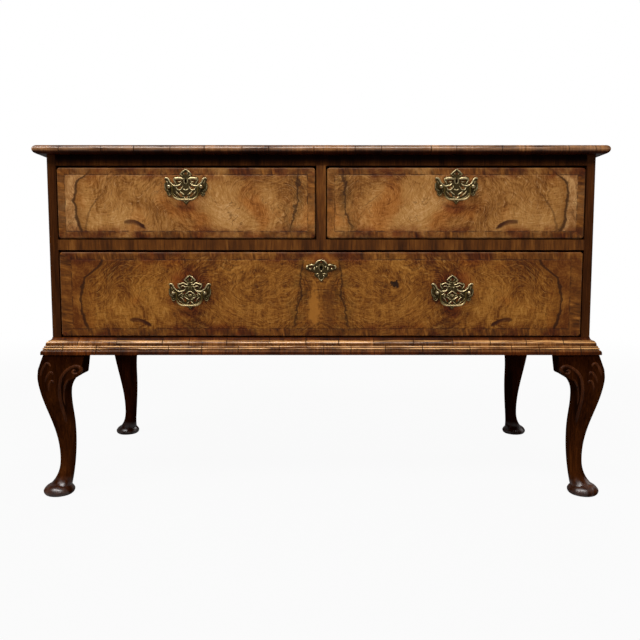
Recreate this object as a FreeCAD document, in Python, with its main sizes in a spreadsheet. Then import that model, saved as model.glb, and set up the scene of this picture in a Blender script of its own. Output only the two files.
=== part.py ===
import FreeCAD, Part
import Sketcher
import math
import os
from types import SimpleNamespace

# A low chest of two short drawers over one long drawer, on four cabriole legs with pad feet.
# Millimetres, +Z up, the front faces -Y, the origin is on the floor under the middle of the case.

SIZES = {
    # Case
    "case_width": 1156,
    "case_depth": 525,
    "side_thickness": 18,
    "short_opening_height": 155,
    "long_opening_height": 187,
    "rail_height": 22,
    "rail_depth": 60,
    "rear_rail_depth": 40,
    "divider_width": 20,
    "back_thickness": 12,
    "back_board_gap": 1,
    "bottom_thickness": 12,
    # Runners, guide and stops
    "runner_width": 24,
    "runner_height": 18,
    "centre_runner_width": 60,
    "guide_height": 20,
    "stop_length": 40,
    "stop_depth": 20,
    "stop_height": 8,
    "stop_inset": 90,
    # Top
    "top_thickness": 18,
    "top_overhang": 22,
    "top_rear_overhang": 4,
    "top_edge_width": 40,
    "top_nose_radius": 9,
    # Base moulding, from its foot upwards
    "base_projection": 20,
    "base_flat_height": 3,
    "base_torus_rise": 7.3,
    "base_torus_set": 3.8,
    "base_torus_radius": 7,
    "base_groove": 1.2,
    "base_reed_rise": 4,
    "base_reed_set": 2.4,
    "base_reed_radius": 3,
    "base_ovolo_rise": 10.3,
    "base_ovolo_set": 5.2,
    "base_ovolo_radius": 10,
    "base_cove_rise": 6.2,
    "base_cove_radius": 6,
    "base_fillet": 0.8,
    # Leg: reach outside the case corner, depth inside it and corner radius at each height
    "leg_height": 309,
    "leg_top_out": 17.5,
    "leg_top_in": 46,
    "leg_top_radius": 7,
    "knee_shoulder_fall": 22,
    "knee_shoulder_out": 24,
    "knee_shoulder_in": 46,
    "knee_shoulder_radius": 9,
    "knee_fall": 48,
    "knee_out": 28.4,
    "knee_in": 42.5,
    "knee_radius": 12,
    "knee_waist_fall": 66,
    "knee_waist_out": 27.4,
    "knee_waist_in": 33.5,
    "knee_waist_radius": 14,
    "knee_foot_fall": 88,
    "knee_foot_out": 23.9,
    "knee_foot_in": 30.5,
    "knee_foot_radius": 15,
    "calf_height": 160,
    "calf_out": 9.4,
    "calf_in": 35,
    "calf_radius": 17,
    "shin_height": 118,
    "shin_out": 1.2,
    "shin_in": 36.1,
    "shin_radius": 17,
    "ankle_height": 82,
    "ankle_out": -1.9,
    "ankle_in": 34.4,
    "ankle_radius": 15.5,
    "instep_height": 50,
    "instep_out": 0.7,
    "instep_in": 31.4,
    "instep_radius": 15,
    "neck_height": 32,
    "neck_out": 8.5,
    "neck_in": 29.6,
    "neck_radius": 18,
    "root_height": 14,
    "root_out": 25.5,
    "root_in": 27.6,
    "root_radius": 23,
    "foot_inset": 2.4,
    "foot_radius": 32.5,
    "foot_sole_radius": 27,
    "foot_sole_curve": 10,
    "foot_rim_height": 10,
    "foot_height": 22.5,
    "foot_top_radius": 19.5,
    "foot_top_curve": 24,
    "tenon_radius": 11,
    "tenon_inset": 34,
    "tenon_length": 24,
    "tenon_clearance": 0.1,
    # Knee blocks beside the legs
    "block_length": 26,
    "block_root": 14,
    "block_tip_set": 5,
    "block_tip_fall": 37,
    "block_tip_radius": 6,
    "block_fall": 60,
    "block_set": 1.5,
    "block_depth": 24,
    "block_bow": 110,
    # Drawers
    "drawer_gap": 2.5,
    "drawer_top_gap": 4.5,
    "drawer_proud": 2,
    "front_thickness": 22,
    "front_corner_radius": 6,
    "front_edge_radius": 3,
    "drawer_rear_room": 5,
    "drawer_headroom": 6,
    "drawer_side_thickness": 10,
    "drawer_back_thickness": 10,
    "drawer_back_drop": 10,
    "drawer_bottom_rise": 12,
    "drawer_bottom_thickness": 8,
    "tail_length": 14,
    "tail_height": 20,
    "tail_flare": 4,
    # Locks
    "keyhole_radius": 3,
    "keyhole_slot_width": 3,
    "keyhole_slot_length": 8,
    "lock_width": 44,
    "lock_height": 42,
    "lock_thickness": 9,
    "bolt_width": 16,
    "bolt_thickness": 5,
    "bolt_height": 26,
    "bolt_clearance": 0.15,
    "bolt_mortise_depth": 9,
    "bolt_mortise_clearance": 1,
    "long_key_rise": 150,
    "short_key_above_posts": 13,
    # Handles
    "short_handle_offset": 285,
    "short_handle_rise": 110,
    "long_handle_offset": 280,
    "long_handle_rise": 96.5,
    "post_spacing": 67,
    "post_shank_radius": 3,
    "post_bore_clearance": 0.3,
    "post_collar_radius": 6.5,
    "post_collar_height": 2,
    "post_neck_radius": 2.8,
    "post_head_radius": 4.4,
    "post_tail": 2,
    "nut_side": 12,
    "nut_thickness": 4,
    "nut_clearance": 0.1,
    "bail_standoff": 12,
    "bail_radius": 1.9,
    "bail_limb_spacing": 53.6,
    "bail_drop": 27,
    "bail_bend_radius": 2.8,
    "bail_corner_radius": 15,
    "bail_pin_reach": 2.5,
    "bail_pin_clearance": 0.08,
    # Pierced plates
    "plate_thickness": 2.2,
    "plate_half_width": 45.5,
    "plate_rise": 38,
    "plate_fall": 36,
    "escutcheon_half_width": 33,
    "escutcheon_rise": 17,
    "escutcheon_fall": 30,
}

# How many boards close the back and how many dovetails hold a drawer's corner
BACK_BOARD_COUNT = 3
SHORT_TAIL_COUNT = 3
LONG_TAIL_COUNT = 4

# Right half of a backplate's outline, from the top point down to the bottom point, as shares of its
# half width and of its rise above or fall below the posts.
PLATE_OUTLINE = [
    (0, 1.0), (0.15, 0.87), (0.30, 0.69), (0.13, 0.60), (0.22, 0.53), (0.42, 0.58), (0.57, 0.52),
    (0.58, 0.36), (0.50, 0.19), (0.66, 0.22), (0.76, 0.34), (0.84, 0.50), (0.95, 0.52), (0.97, 0.40),
    (0.91, 0.28), (1.0, 0.18), (0.98, -0.14), (0.88, -0.30), (0.88, -0.44), (0.76, -0.52), (0.67, -0.42),
    (0.64, -0.30), (0.55, -0.46), (0.34, -0.68), (0.13, -0.78), (0.07, -0.92), (0, -1.0),
]

# Right-hand openings of a backplate, in the same shares. The first list straddles the middle.
PLATE_MIDDLE_OPENINGS = [
    [(0, 0.88), (0.15, 0.72), (0, 0.66)],
    [(0, -0.46), (0.13, -0.56), (0, -0.68)],
]
PLATE_DIAMOND = [(0, 0.14), (0.11, 0), (0, -0.14)]
PLATE_SIDE_OPENINGS = [
    [(0.16, 0.42), (0.44, 0.48), (0.47, 0.34), (0.36, 0.22), (0.17, 0.26)],
    [(0.20, 0.10), (0.38, 0.10), (0.48, -0.02), (0.40, -0.16), (0.22, -0.06)],
    [(0.18, -0.24), (0.36, -0.30), (0.49, -0.26), (0.40, -0.48), (0.19, -0.58)],
]

# Right half of the escutcheon's outline and its openings, as shares of its half width, rise and fall.
ESCUTCHEON_OUTLINE = [
    (0, 1.0), (0.20, 0.90), (0.36, 0.62), (0.40, 0.40), (0.58, 0.48), (0.78, 0.42), (0.94, 0.22),
    (1.0, -0.06), (0.84, -0.18), (0.66, -0.22), (0.44, -0.30), (0.40, -0.42), (0.45, -0.54), (0.34, -0.68),
    (0.20, -0.72), (0.12, -0.88), (0, -1.0),
]
ESCUTCHEON_MIDDLE_OPENINGS = [[(0, 0.84), (0.13, 0.68), (0, 0.54)]]
ESCUTCHEON_SIDE_OPENINGS = [
    [(0.58, 0.30), (0.76, 0.24), (0.82, 0.04), (0.62, -0.06), (0.52, 0.10)],
    [(0.12, -0.48), (0.26, -0.46), (0.28, -0.58), (0.16, -0.60)],
]

ROUND_TURN = 360
X_AXIS = FreeCAD.Vector(1, 0, 0)
Y_AXIS = FreeCAD.Vector(0, 1, 0)
Z_AXIS = FreeCAD.Vector(0, 0, 1)
PLANE_ROTATION = {
    "XY": FreeCAD.Rotation(),
    "XZ": FreeCAD.Rotation(X_AXIS, 90),
    "YZ": FreeCAD.Rotation(X_AXIS + Y_AXIS + Z_AXIS, 120),
}
PLANE_AXIS = {"XY": "z", "XZ": "y", "YZ": "x"}
ALONG = {
    "x": FreeCAD.Rotation(Y_AXIS, 90),
    "y": FreeCAD.Rotation(X_AXIS, -90),
    "z": FreeCAD.Rotation(),
}


class Term:
    # A size of the sheet, or a sum of sizes: its expression text and its present value
    def __init__(self, text, value):
        self.text = text
        self.value = value

    def join(self, sign, other, result):
        return Term(f"({self.text} {sign} {other.text})", result)

    def __add__(self, other):
        return self.join("+", term(other), self.value + term(other).value)

    def __sub__(self, other):
        return self.join("-", term(other), self.value - term(other).value)

    def __mul__(self, other):
        return self.join("*", term(other), self.value * term(other).value)

    def __truediv__(self, other):
        return self.join("/", term(other), self.value / term(other).value)

    def __neg__(self):
        return Term(f"(-1 * {self.text})", -self.value)


def term(value):
    return value if isinstance(value, Term) else Term(f"{value}", value)


ZERO = term(0)
doc = FreeCAD.newDocument("chest_of_drawers")
sheet = doc.addObject("Spreadsheet::Sheet", "Sizes")
for row, (alias, number) in enumerate(SIZES.items(), start=1):
    sheet.set(f"A{row}", alias)
    sheet.set(f"B{row}", str(number))
    sheet.setAlias(f"B{row}", alias)
doc.recompute()
size = SimpleNamespace(**{alias: Term(f"Sizes.{alias}", float(number)) for alias, number in SIZES.items()})
pieces = {}


def piece(name, item):
    item.Label = name
    pieces[name] = item
    return item


def mirror_piece(name):
    # The other hand of a piece: left and right change places in its shape and in its name
    swap = {"left": "right", "right": "left"}
    copy_name = "_".join(swap.get(word, word) for word in name.split("_"))
    return piece(copy_name, mirror(copy_name, pieces[name], X_AXIS))


# Solids bound to the sheet

def place(item, x, y, z):
    for axis, value in zip("xyz", (x, y, z)):
        item.setExpression(f"Placement.Base.{axis}", value.text)


def box(name, x, y, z):
    item = doc.addObject("Part::Box", name)
    for side, (low, high) in zip(("Length", "Width", "Height"), (x, y, z)):
        item.setExpression(side, (high - low).text)
    place(item, x[0], y[0], z[0])
    return item


def cylinder(name, axis, radius, length, x, y, z):
    item = doc.addObject("Part::Cylinder", name)
    item.Placement.Rotation = ALONG[axis]
    item.setExpression("Radius", radius.text)
    item.setExpression("Height", length.text)
    place(item, x, y, z)
    return item


def sphere(name, radius, x, y, z):
    item = doc.addObject("Part::Sphere", name)
    item.setExpression("Radius", radius.text)
    place(item, x, y, z)
    return item


def fuse(name, items):
    item = doc.addObject("Part::MultiFuse", name)
    item.Shapes = items
    return item


def common(name, items):
    item = doc.addObject("Part::MultiCommon", name)
    item.Shapes = items
    return item


def cut(name, base, tools):
    item = doc.addObject("Part::Cut", name)
    item.Base = base
    item.Tool = tools[0] if len(tools) == 1 else fuse(f"{name}_tools", tools)
    return item


def group(name, items):
    item = doc.addObject("Part::Compound", name)
    item.Links = items
    return item


def mirror(name, source, normal):
    item = doc.addObject("Part::Mirroring", name)
    item.Source = source
    item.Normal = normal
    return item


# Sketches: a loop is a list of corners (x, y), or (x, y, radius, turn) where the edge that leaves the corner
# is an arc, to the left for a turn of 1 and to the right for -1.

def add_edge(sketch, start, end, rules):
    first = FreeCAD.Vector(start[0].value, start[1].value, 0)
    second = FreeCAD.Vector(end[0].value, end[1].value, 0)
    if len(start) == 2:
        return sketch.addGeometry(Part.LineSegment(first, second)), 1, 2
    radius, turn = start[2:]
    chord = second - first
    rise = math.sqrt(max(radius.value ** 2 - (chord.Length / 2) ** 2, 0))
    inward = FreeCAD.Vector(-chord.y, chord.x, 0).normalize() * turn
    centre = (first + second) / 2 + inward * rise
    ends = (first - centre, second - centre)[::turn]
    angles = [math.atan2(end_point.y, end_point.x) for end_point in ends]
    edge = sketch.addGeometry(Part.ArcOfCircle(Part.Circle(centre, Z_AXIS, radius.value), *angles))
    rules.append((Sketcher.Constraint("Radius", edge, radius.value), radius))
    return (edge, 1, 2) if turn > 0 else (edge, 2, 1)


def pin_corner(edge, point, corner, rules):
    for kind, axis, value in (("DistanceX", -2, corner[0]), ("DistanceY", -1, corner[1])):
        if value.value == 0:
            rules.append((Sketcher.Constraint("PointOnObject", edge, point, axis), None))
        else:
            rules.append((Sketcher.Constraint(kind, -1, 1, edge, point, value.value), value))


def apply_rules(sketch, rules):
    numbers = sketch.addConstraint([rule for rule, value in rules])
    for number, (rule, value) in zip(numbers, rules):
        if value:
            sketch.setExpression(f"Constraints[{number}]", value.text)


def draw_loops(sketch, loops, closed=True):
    rules = []
    for corners in loops:
        followers = corners[1:] + corners[:1] if closed else corners[1:]
        edges = [add_edge(sketch, start, end, rules) for start, end in zip(corners, followers)]
        for (edge, start, end), corner in zip(edges, corners):
            pin_corner(edge, start, corner, rules)
        joints = list(zip(edges, edges[1:] + edges[:1]))
        for (edge, start, end), (after, after_start, after_end) in joints if closed else joints[:-1]:
            rules.append((Sketcher.Constraint("Coincident", edge, end, after, after_start), None))
        if not closed:
            pin_corner(edges[-1][0], edges[-1][2], corners[-1], rules)
    apply_rules(sketch, rules)


def draw_circle(sketch, radius):
    ring = sketch.addGeometry(Part.Circle(FreeCAD.Vector(), Z_AXIS, radius.value))
    rules = [(Sketcher.Constraint("Radius", ring, radius.value), radius)]
    pin_corner(ring, 3, (ZERO, ZERO), rules)
    apply_rules(sketch, rules)


def flat_sketch(name, plane, x=ZERO, y=ZERO, z=ZERO):
    sketch = doc.addObject("Sketcher::SketchObject", name)
    sketch.Placement.Rotation = PLANE_ROTATION[plane]
    place(sketch, x, y, z)
    return sketch


def extrude(name, plane, corners, low, high):
    # The XZ plane's sketches face -Y, so they start at the high end
    sketch = flat_sketch(f"{name}_outline", plane, **{PLANE_AXIS[plane]: high if plane == "XZ" else low})
    draw_loops(sketch, [corners])
    item = doc.addObject("Part::Extrusion", name)
    item.Base = sketch
    item.DirMode = "Normal"
    item.Solid = True
    item.setExpression("LengthFwd", (high - low).text)
    return item


def front_plate(name, loops, back, thickness, x, z):
    # A body padded towards the front from a sketch about (x, z) that faces -Y
    body = doc.addObject("PartDesign::Body", name)
    sketch = body.newObject("Sketcher::SketchObject", f"{name}_outline")
    upright = next(plane for plane in body.Origin.OriginFeatures if plane.Role == "XZ_Plane")
    sketch.AttachmentSupport = (upright, [""])
    sketch.MapMode = "FlatFace"
    for axis, value in zip("xyz", (x, z, -back)):
        sketch.setExpression(f"AttachmentOffset.Base.{axis}", value.text)
    draw_loops(sketch, loops)
    pad = body.newObject("PartDesign::Pad", f"{name}_pad")
    pad.Profile = sketch
    pad.setExpression("Length", thickness.text)
    return body


def rounded_rectangle(x, y, radius):
    (left, right), (low, high) = x, y
    return [
        (left + radius, low), (right - radius, low, radius, 1),
        (right, low + radius), (right, high - radius, radius, 1),
        (right - radius, high), (left + radius, high, radius, 1),
        (left, high - radius), (left, low + radius, radius, 1),
    ]


# Levels and planes that the pieces share

half_width = size.case_width / 2
half_depth = size.case_depth / 2
inner_x = half_width - size.side_thickness
front_y = -half_depth
back_y = half_depth
back_board_y = back_y - size.back_thickness
rear_rail_y = back_board_y - size.rear_rail_depth
rail_back_y = front_y + size.rail_depth
divider_x = size.divider_width / 2
base_height = (size.base_flat_height + size.base_torus_rise + size.base_groove + size.base_reed_rise
               + size.base_reed_rise + size.base_ovolo_rise + size.base_cove_rise)
case_low = size.leg_height
long_low = case_low + base_height
long_high = long_low + size.long_opening_height
short_low = long_high + size.rail_height
short_high = short_low + size.short_opening_height
case_high = short_high + size.rail_height
face_y = front_y - size.drawer_proud
front_back_y = face_y + size.front_thickness
short_handle_z = short_low + size.short_handle_rise
long_handle_z = long_low + size.long_handle_rise
short_key_z = short_handle_z + size.short_key_above_posts
long_key_z = long_low + size.long_key_rise
tenon_x = half_width - size.tenon_inset
tenon_y = half_depth - size.tenon_inset
lock_bolt_y = front_back_y + (size.lock_thickness - size.bolt_thickness) / 2


# Case

def bolt_mortise(name, x, z):
    half = size.bolt_width / 2 + size.bolt_mortise_clearance
    y = (lock_bolt_y - size.bolt_mortise_clearance,
         lock_bolt_y + size.bolt_thickness + size.bolt_mortise_clearance)
    return box(name, (x - half, x + half), y, (z, z + size.bolt_mortise_depth))


def tenon_bores(name, y):
    radius = size.tenon_radius + size.tenon_clearance
    return [cylinder(f"{name}_{i}", "z", radius, size.tenon_length, x, y, case_low)
            for i, x in enumerate((-tenon_x, tenon_x))]


def build_case():
    depth = (front_y, back_y)
    between = (-inner_x, inner_x)
    rail_y = (front_y, rail_back_y)
    piece("left_side", box("left_side", (-half_width, -inner_x), depth, (case_low, case_high)))
    piece("right_side", box("right_side", (inner_x, half_width), depth, (case_low, case_high)))

    top_rail = box("top_rail_board", between, rail_y, (short_high, case_high))
    mortises = [bolt_mortise(f"top_mortise_{i}", x, short_high)
                for i, x in enumerate((-size.short_handle_offset, size.short_handle_offset))]
    piece("top_rail", cut("top_rail", top_rail, mortises))
    middle_rail = box("middle_rail_board", between, rail_y, (long_high, short_low))
    piece("middle_rail", cut("middle_rail", middle_rail, [bolt_mortise("middle_mortise", ZERO, long_high)]))
    bottom_rail = box("bottom_rail_board", between, rail_y, (case_low, long_low))
    piece("bottom_rail", cut("bottom_rail", bottom_rail, tenon_bores("front_tenon_bore", -tenon_y)))
    rear_rail = box("rear_rail_board", between, (rear_rail_y, back_board_y), (case_low, long_low))
    piece("rear_rail", cut("rear_rail", rear_rail, tenon_bores("rear_tenon_bore", tenon_y)))
    piece("drawer_divider", box("drawer_divider", (-divider_x, divider_x), rail_y, (short_low, short_high)))

    bottom_z = (case_low, case_low + size.bottom_thickness)
    piece("bottom_board", box("bottom_board", between, (rail_back_y, rear_rail_y), bottom_z))
    board = (case_high - case_low - size.back_board_gap * (BACK_BOARD_COUNT - 1)) / BACK_BOARD_COUNT
    boards = []
    for i in range(BACK_BOARD_COUNT):
        low = case_low + (board + size.back_board_gap) * i
        boards.append(box(f"back_board_{i}", between, (back_board_y, back_y), (low, low + board)))
    piece("back_boards", group("back_boards", boards))


def build_runners():
    upper_z = (short_low - size.runner_height, short_low)
    lower_z = (case_low + size.bottom_thickness, long_low)
    upper_y = (rail_back_y, back_board_y)
    lower_y = (rail_back_y, rear_rail_y)
    left = (-inner_x, size.runner_width - inner_x)
    right = (inner_x - size.runner_width, inner_x)
    for name, y, z in (("upper_runners", upper_y, upper_z), ("lower_runners", lower_y, lower_z)):
        piece(name, group(name, [box(f"{name}_left", left, y, z), box(f"{name}_right", right, y, z)]))
    half = size.centre_runner_width / 2
    piece("centre_runner", box("centre_runner", (-half, half), upper_y, upper_z))
    guide_z = (short_low, short_low + size.guide_height)
    piece("centre_guide", box("centre_guide", (-divider_x, divider_x), upper_y, guide_z))


def build_stops():
    stop_y = (front_back_y, front_back_y + size.stop_depth)
    ends = (-inner_x + size.stop_inset, -divider_x - size.stop_inset - size.stop_length)
    starts = [(x, short_low) for x in ends] + [(-x - size.stop_length, short_low) for x in ends]
    starts += [(ends[0], long_low), (-ends[0] - size.stop_length, long_low)]
    stops = [box(f"drawer_stop_{i}", (x, x + size.stop_length), stop_y, (z, z + size.stop_height))
             for i, (x, z) in enumerate(starts)]
    piece("drawer_stops", group("drawer_stops", stops))


# Mouldings with mitred front corners: each profile is a list of corners (reach outside the case, height)

def front_corner(reach, height, *arc):
    # Towards -Y an arc turns the other way
    if not arc:
        return front_y - reach, height
    radius, turn = arc
    return front_y - reach, height, radius, -turn


def mitred_frame(name, profile, inset, reach, rear_y, z):
    front_line = front_y - reach
    inner_line = front_y + inset
    side_line = half_width + reach
    inner_side = half_width - inset
    along_front = extrude(f"{name}_front_run", "YZ", [front_corner(*corner) for corner in profile],
                          -side_line, side_line)
    front_plan = [(-side_line, front_line), (side_line, front_line), (inner_side, inner_line),
                  (-inner_side, inner_line)]
    front = common(f"{name}_front", [along_front, extrude(f"{name}_front_plan", "XY", front_plan, *z)])
    along_side = extrude(f"{name}_side_run", "XZ", [(half_width + out, *rest) for out, *rest in profile],
                         front_line, rear_y)
    side_plan = [(side_line, front_line), (side_line, rear_y), (inner_side, rear_y), (inner_side, inner_line)]
    right = common(f"{name}_right", [along_side, extrude(f"{name}_side_plan", "XY", side_plan, *z)])
    piece(f"{name}_front", front)
    piece(f"{name}_right", right)
    mirror_piece(f"{name}_right")


def build_top():
    high = case_high + size.top_thickness
    reach = size.top_overhang
    inset = size.top_edge_width - size.top_overhang
    rear_y = back_y + size.top_rear_overhang
    core_x = half_width - inset
    piece("top_board", box("top_board", (-core_x, core_x), (front_y + inset, rear_y), (case_high, high)))
    lower = size.top_thickness - size.top_nose_radius
    nose_z = case_high + lower
    profile = [
        (-inset, case_high), (reach - lower, case_high, lower, 1), (reach, nose_z, size.top_nose_radius, 1),
        (reach - size.top_nose_radius, high), (-inset, high),
    ]
    mitred_frame("top_edge", profile, inset, reach, rear_y, (case_high, high))


def build_base_moulding():
    reach = size.base_projection
    torus_low = case_low + size.base_flat_height
    torus_high = torus_low + size.base_torus_rise
    torus_reach = reach - size.base_torus_set
    groove_reach = torus_reach - size.base_groove
    reed_low = torus_high + size.base_groove
    reed_middle = reed_low + size.base_reed_rise
    reed_high = reed_middle + size.base_reed_rise
    reed_reach = torus_reach - size.base_reed_set
    ovolo_low_reach = reed_reach - size.base_reed_set
    ovolo_high = reed_high + size.base_ovolo_rise
    ovolo_reach = ovolo_low_reach - size.base_ovolo_set
    profile = [
        (ZERO, case_low), (reach, case_low), (reach, torus_low, size.base_torus_radius, 1),
        (torus_reach, torus_high), (groove_reach, torus_high),
        (groove_reach, reed_low), (torus_reach, reed_low, size.base_reed_radius, 1),
        (reed_reach, reed_middle, size.base_reed_radius, 1),
        (ovolo_low_reach, reed_high, size.base_ovolo_radius, 1),
        (ovolo_reach, ovolo_high, size.base_cove_radius, -1),
        (size.base_fillet, long_low), (ZERO, long_low),
    ]
    mitred_frame("base_moulding", profile, ZERO, reach, back_y, (case_low, long_low))


# Legs, made at the front right corner and mirrored

def leg_section(name, height, out, inside, radius):
    sketch = flat_sketch(name, "XY", z=height)
    draw_loops(sketch, [rounded_rectangle((half_width - inside, half_width + out),
                                          (front_y - out, front_y + inside), radius)])
    return sketch


def build_front_leg():
    top = size.leg_height
    heights = {
        "leg_top": top, "knee_shoulder": top - size.knee_shoulder_fall, "knee": top - size.knee_fall,
        "knee_waist": top - size.knee_waist_fall, "knee_foot": top - size.knee_foot_fall,
        "calf": size.calf_height, "shin": size.shin_height, "ankle": size.ankle_height,
        "instep": size.instep_height, "neck": size.neck_height, "root": size.root_height,
    }
    sections = []
    for station, height in heights.items():
        out, inside, radius = (getattr(size, f"{station}_{measure}") for measure in ("out", "in", "radius"))
        sections.append(leg_section(f"{station}_section", height, out, inside, radius))
    shaft = doc.addObject("Part::Loft", "leg_shaft")
    shaft.Sections = sections
    shaft.Solid = True

    foot_x = half_width - size.foot_inset
    foot_y = front_y + size.foot_inset
    profile = flat_sketch("pad_foot_profile", "XZ", y=foot_y)
    draw_loops(profile, [[
        (foot_x, ZERO), (foot_x + size.foot_sole_radius, ZERO, size.foot_sole_curve, 1),
        (foot_x + size.foot_radius, size.foot_rim_height, size.foot_top_curve, 1),
        (foot_x + size.foot_top_radius, size.foot_height), (foot_x, size.foot_height),
    ]])
    foot = doc.addObject("Part::Revolution", "pad_foot")
    foot.Source = profile
    foot.Axis = Z_AXIS
    foot.Angle = ROUND_TURN
    foot.Solid = True
    foot.setExpression("Base.x", foot_x.text)
    foot.setExpression("Base.y", foot_y.text)
    tenon = cylinder("leg_tenon", "z", size.tenon_radius, size.tenon_length, tenon_x, -tenon_y, top)
    return fuse("leg_front_right", [shaft, foot, tenon])


def build_knee_block(leg):
    # The block beside the front right leg that faces forwards, hollowed to the leg that it is glued to
    high = case_low
    low = high - size.block_fall
    leg_face = half_width - size.leg_top_in
    root_x = leg_face + size.block_root
    tip_x = leg_face - size.block_length
    toe_x = tip_x + size.block_tip_set
    toe_z = high - size.block_tip_fall
    outline = [
        (root_x, high), (tip_x, high), (toe_x, toe_z, size.block_tip_radius, 1),
        (toe_x + size.block_tip_radius, toe_z - size.block_tip_radius), (root_x, low),
    ]
    rear_y = front_y + size.block_depth
    ear = extrude("knee_ear", "XZ", outline, front_y - size.knee_out, rear_y)
    bow = [
        (rear_y, low), (rear_y, high), (front_y - size.leg_top_out + size.block_set, high, size.block_bow, 1),
        (front_y - size.knee_out + size.block_set, low),
    ]
    swell = extrude("knee_swell", "YZ", bow, tip_x, root_x)
    blank = common("knee_block_blank", [ear, swell])
    return cut("knee_block_front_right", blank, [leg])


def build_legs():
    front_right = piece("leg_front_right", build_front_leg())
    piece("leg_rear_right", mirror("leg_rear_right", front_right, Y_AXIS))
    mirror_piece("leg_front_right")
    mirror_piece("leg_rear_right")

    facing_right = build_knee_block(front_right)
    facing_left = mirror("knee_block_front_left", facing_right, X_AXIS)
    piece("knee_blocks_front", group("knee_blocks_front", [facing_right, facing_left]))
    # A mirror in the corner's diagonal turns the forward block into the sideways one
    side_right = mirror("knee_block_side_right", facing_right, X_AXIS + Y_AXIS)
    side_right.setExpression("Base.x", half_width.text)
    side_right.setExpression("Base.y", front_y.text)
    sides = [side_right, mirror("knee_block_side_left", side_right, X_AXIS)]
    sides += [mirror(f"{block.Name}_rear", block, Y_AXIS) for block in sides]
    piece("knee_blocks_side", group("knee_blocks_side", sides))


# Drawers

def dovetails(name, x, low, high, count):
    pitch = (high - low) / count
    tails = []
    for i in range(count):
        middle = low + pitch * (i + 0.5)
        root = (middle - size.tail_height / 2, middle + size.tail_height / 2)
        tail = doc.addObject("Part::Wedge", f"{name}_{i}")
        bounds = {
            "Xmin": x[0], "Xmax": x[1], "X2min": x[0], "X2max": x[1],
            "Ymin": front_back_y - size.tail_length, "Ymax": front_back_y,
            "Zmin": root[0] - size.tail_flare, "Zmax": root[1] + size.tail_flare,
            "Z2min": root[0], "Z2max": root[1],
        }
        for side, value in bounds.items():
            setattr(tail, side, value.value)
            tail.setExpression(side, value.text)
        tails.append(tail)
    return tails


def keyhole_cut(name, x, z, y_low, y_high):
    slot = size.keyhole_slot_width / 2
    eye = cylinder(f"{name}_eye", "y", size.keyhole_radius, y_high - y_low, x, y_low, z)
    return [eye, box(f"{name}_slot", (x - slot, x + slot), (y_low, y_high),
                     (z - size.keyhole_slot_length, z))]


def drawer_front(name, x, z):
    low, high = z[0] + size.drawer_gap, z[1] - size.drawer_top_gap
    half_length = (x[1] - x[0]) / 2 - size.drawer_gap
    half_height = (high - low) / 2
    loop = rounded_rectangle((-half_length, half_length), (-half_height, half_height),
                             size.front_corner_radius)
    body = front_plate(f"{name}_board", [loop], front_back_y, size.front_thickness,
                       (x[0] + x[1]) / 2, (low + high) / 2)
    pad = body.Tip
    pad.Profile[0].recompute()
    pad.recompute()
    faces = pad.Shape.Faces
    face = min(range(len(faces)), key=lambda i: faces[i].CenterOfMass.y)
    fillet = body.newObject("PartDesign::Fillet", f"{name}_edge")
    fillet.Base = (pad, [f"Face{face + 1}"])
    fillet.setExpression("Radius", size.front_edge_radius.text)
    body.Tip = fillet
    return body


def build_drawer(name, x, z, tails, key, posts):
    # x and z bound the opening; key is (x, z) of the keyhole and posts the (x, z) of each handle post
    gap = size.drawer_gap
    thickness = size.drawer_side_thickness
    left = (x[0] + gap, x[0] + gap + thickness)
    right = (x[1] - gap - thickness, x[1] - gap)
    inside = (left[1], right[0])
    side_high = z[1] - size.drawer_headroom
    rear_y = rear_rail_y - size.drawer_rear_room
    sockets = []
    for side, side_x in (("left", left), ("right", right)):
        board = box(f"{name}_{side}_board", side_x, (front_back_y, rear_y), (z[0], side_high))
        side_tails = dovetails(f"{name}_{side}_tail", side_x, z[0], side_high, tails)
        piece(f"{name}_{side}_side", fuse(f"{name}_{side}_side", [board] + side_tails))
        sockets += side_tails

    bores = keyhole_cut(f"{name}_keyhole", *key, face_y, front_back_y)
    bore_radius = size.post_shank_radius + size.post_bore_clearance
    for i, (post_x, post_z) in enumerate(posts):
        bores.append(cylinder(f"{name}_post_bore_{i}", "y", bore_radius, size.front_thickness,
                              post_x, face_y, post_z))
    piece(f"{name}_front", cut(f"{name}_front", drawer_front(f"{name}_front", x, z), sockets + bores))

    floor_z = z[0] + size.drawer_bottom_rise
    floor_high = floor_z + size.drawer_bottom_thickness
    piece(f"{name}_bottom", box(f"{name}_bottom", inside, (front_back_y, rear_y), (floor_z, floor_high)))
    piece(f"{name}_back", box(f"{name}_back", inside, (rear_y - size.drawer_back_thickness, rear_y),
                              (floor_high, side_high - size.drawer_back_drop)))
    build_lock(name, key[0], z[1] - size.drawer_top_gap)


def build_lock(name, x, high):
    clearance = size.bolt_clearance
    half = size.lock_width / 2
    half_bolt = size.bolt_width / 2
    case = box(f"{name}_lock_body", (x - half, x + half), (front_back_y, front_back_y + size.lock_thickness),
               (high - size.lock_height, high))
    bolt_y = (lock_bolt_y, lock_bolt_y + size.bolt_thickness)
    channel = box(f"{name}_lock_channel", (x - half_bolt - clearance, x + half_bolt + clearance),
                  (bolt_y[0] - clearance, bolt_y[1] + clearance), (high - size.bolt_height, high))
    piece(f"{name}_lock_case", cut(f"{name}_lock_case", case, [channel]))
    piece(f"{name}_lock_bolt", box(f"{name}_lock_bolt", (x - half_bolt, x + half_bolt), bolt_y,
                                   (high - size.bolt_height, high)))


# Handles

def scaled_loop(points, half_width_term, rise, fall):
    return [(half_width_term * across, (rise if up > 0 else fall) * up) for across, up in points]


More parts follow.
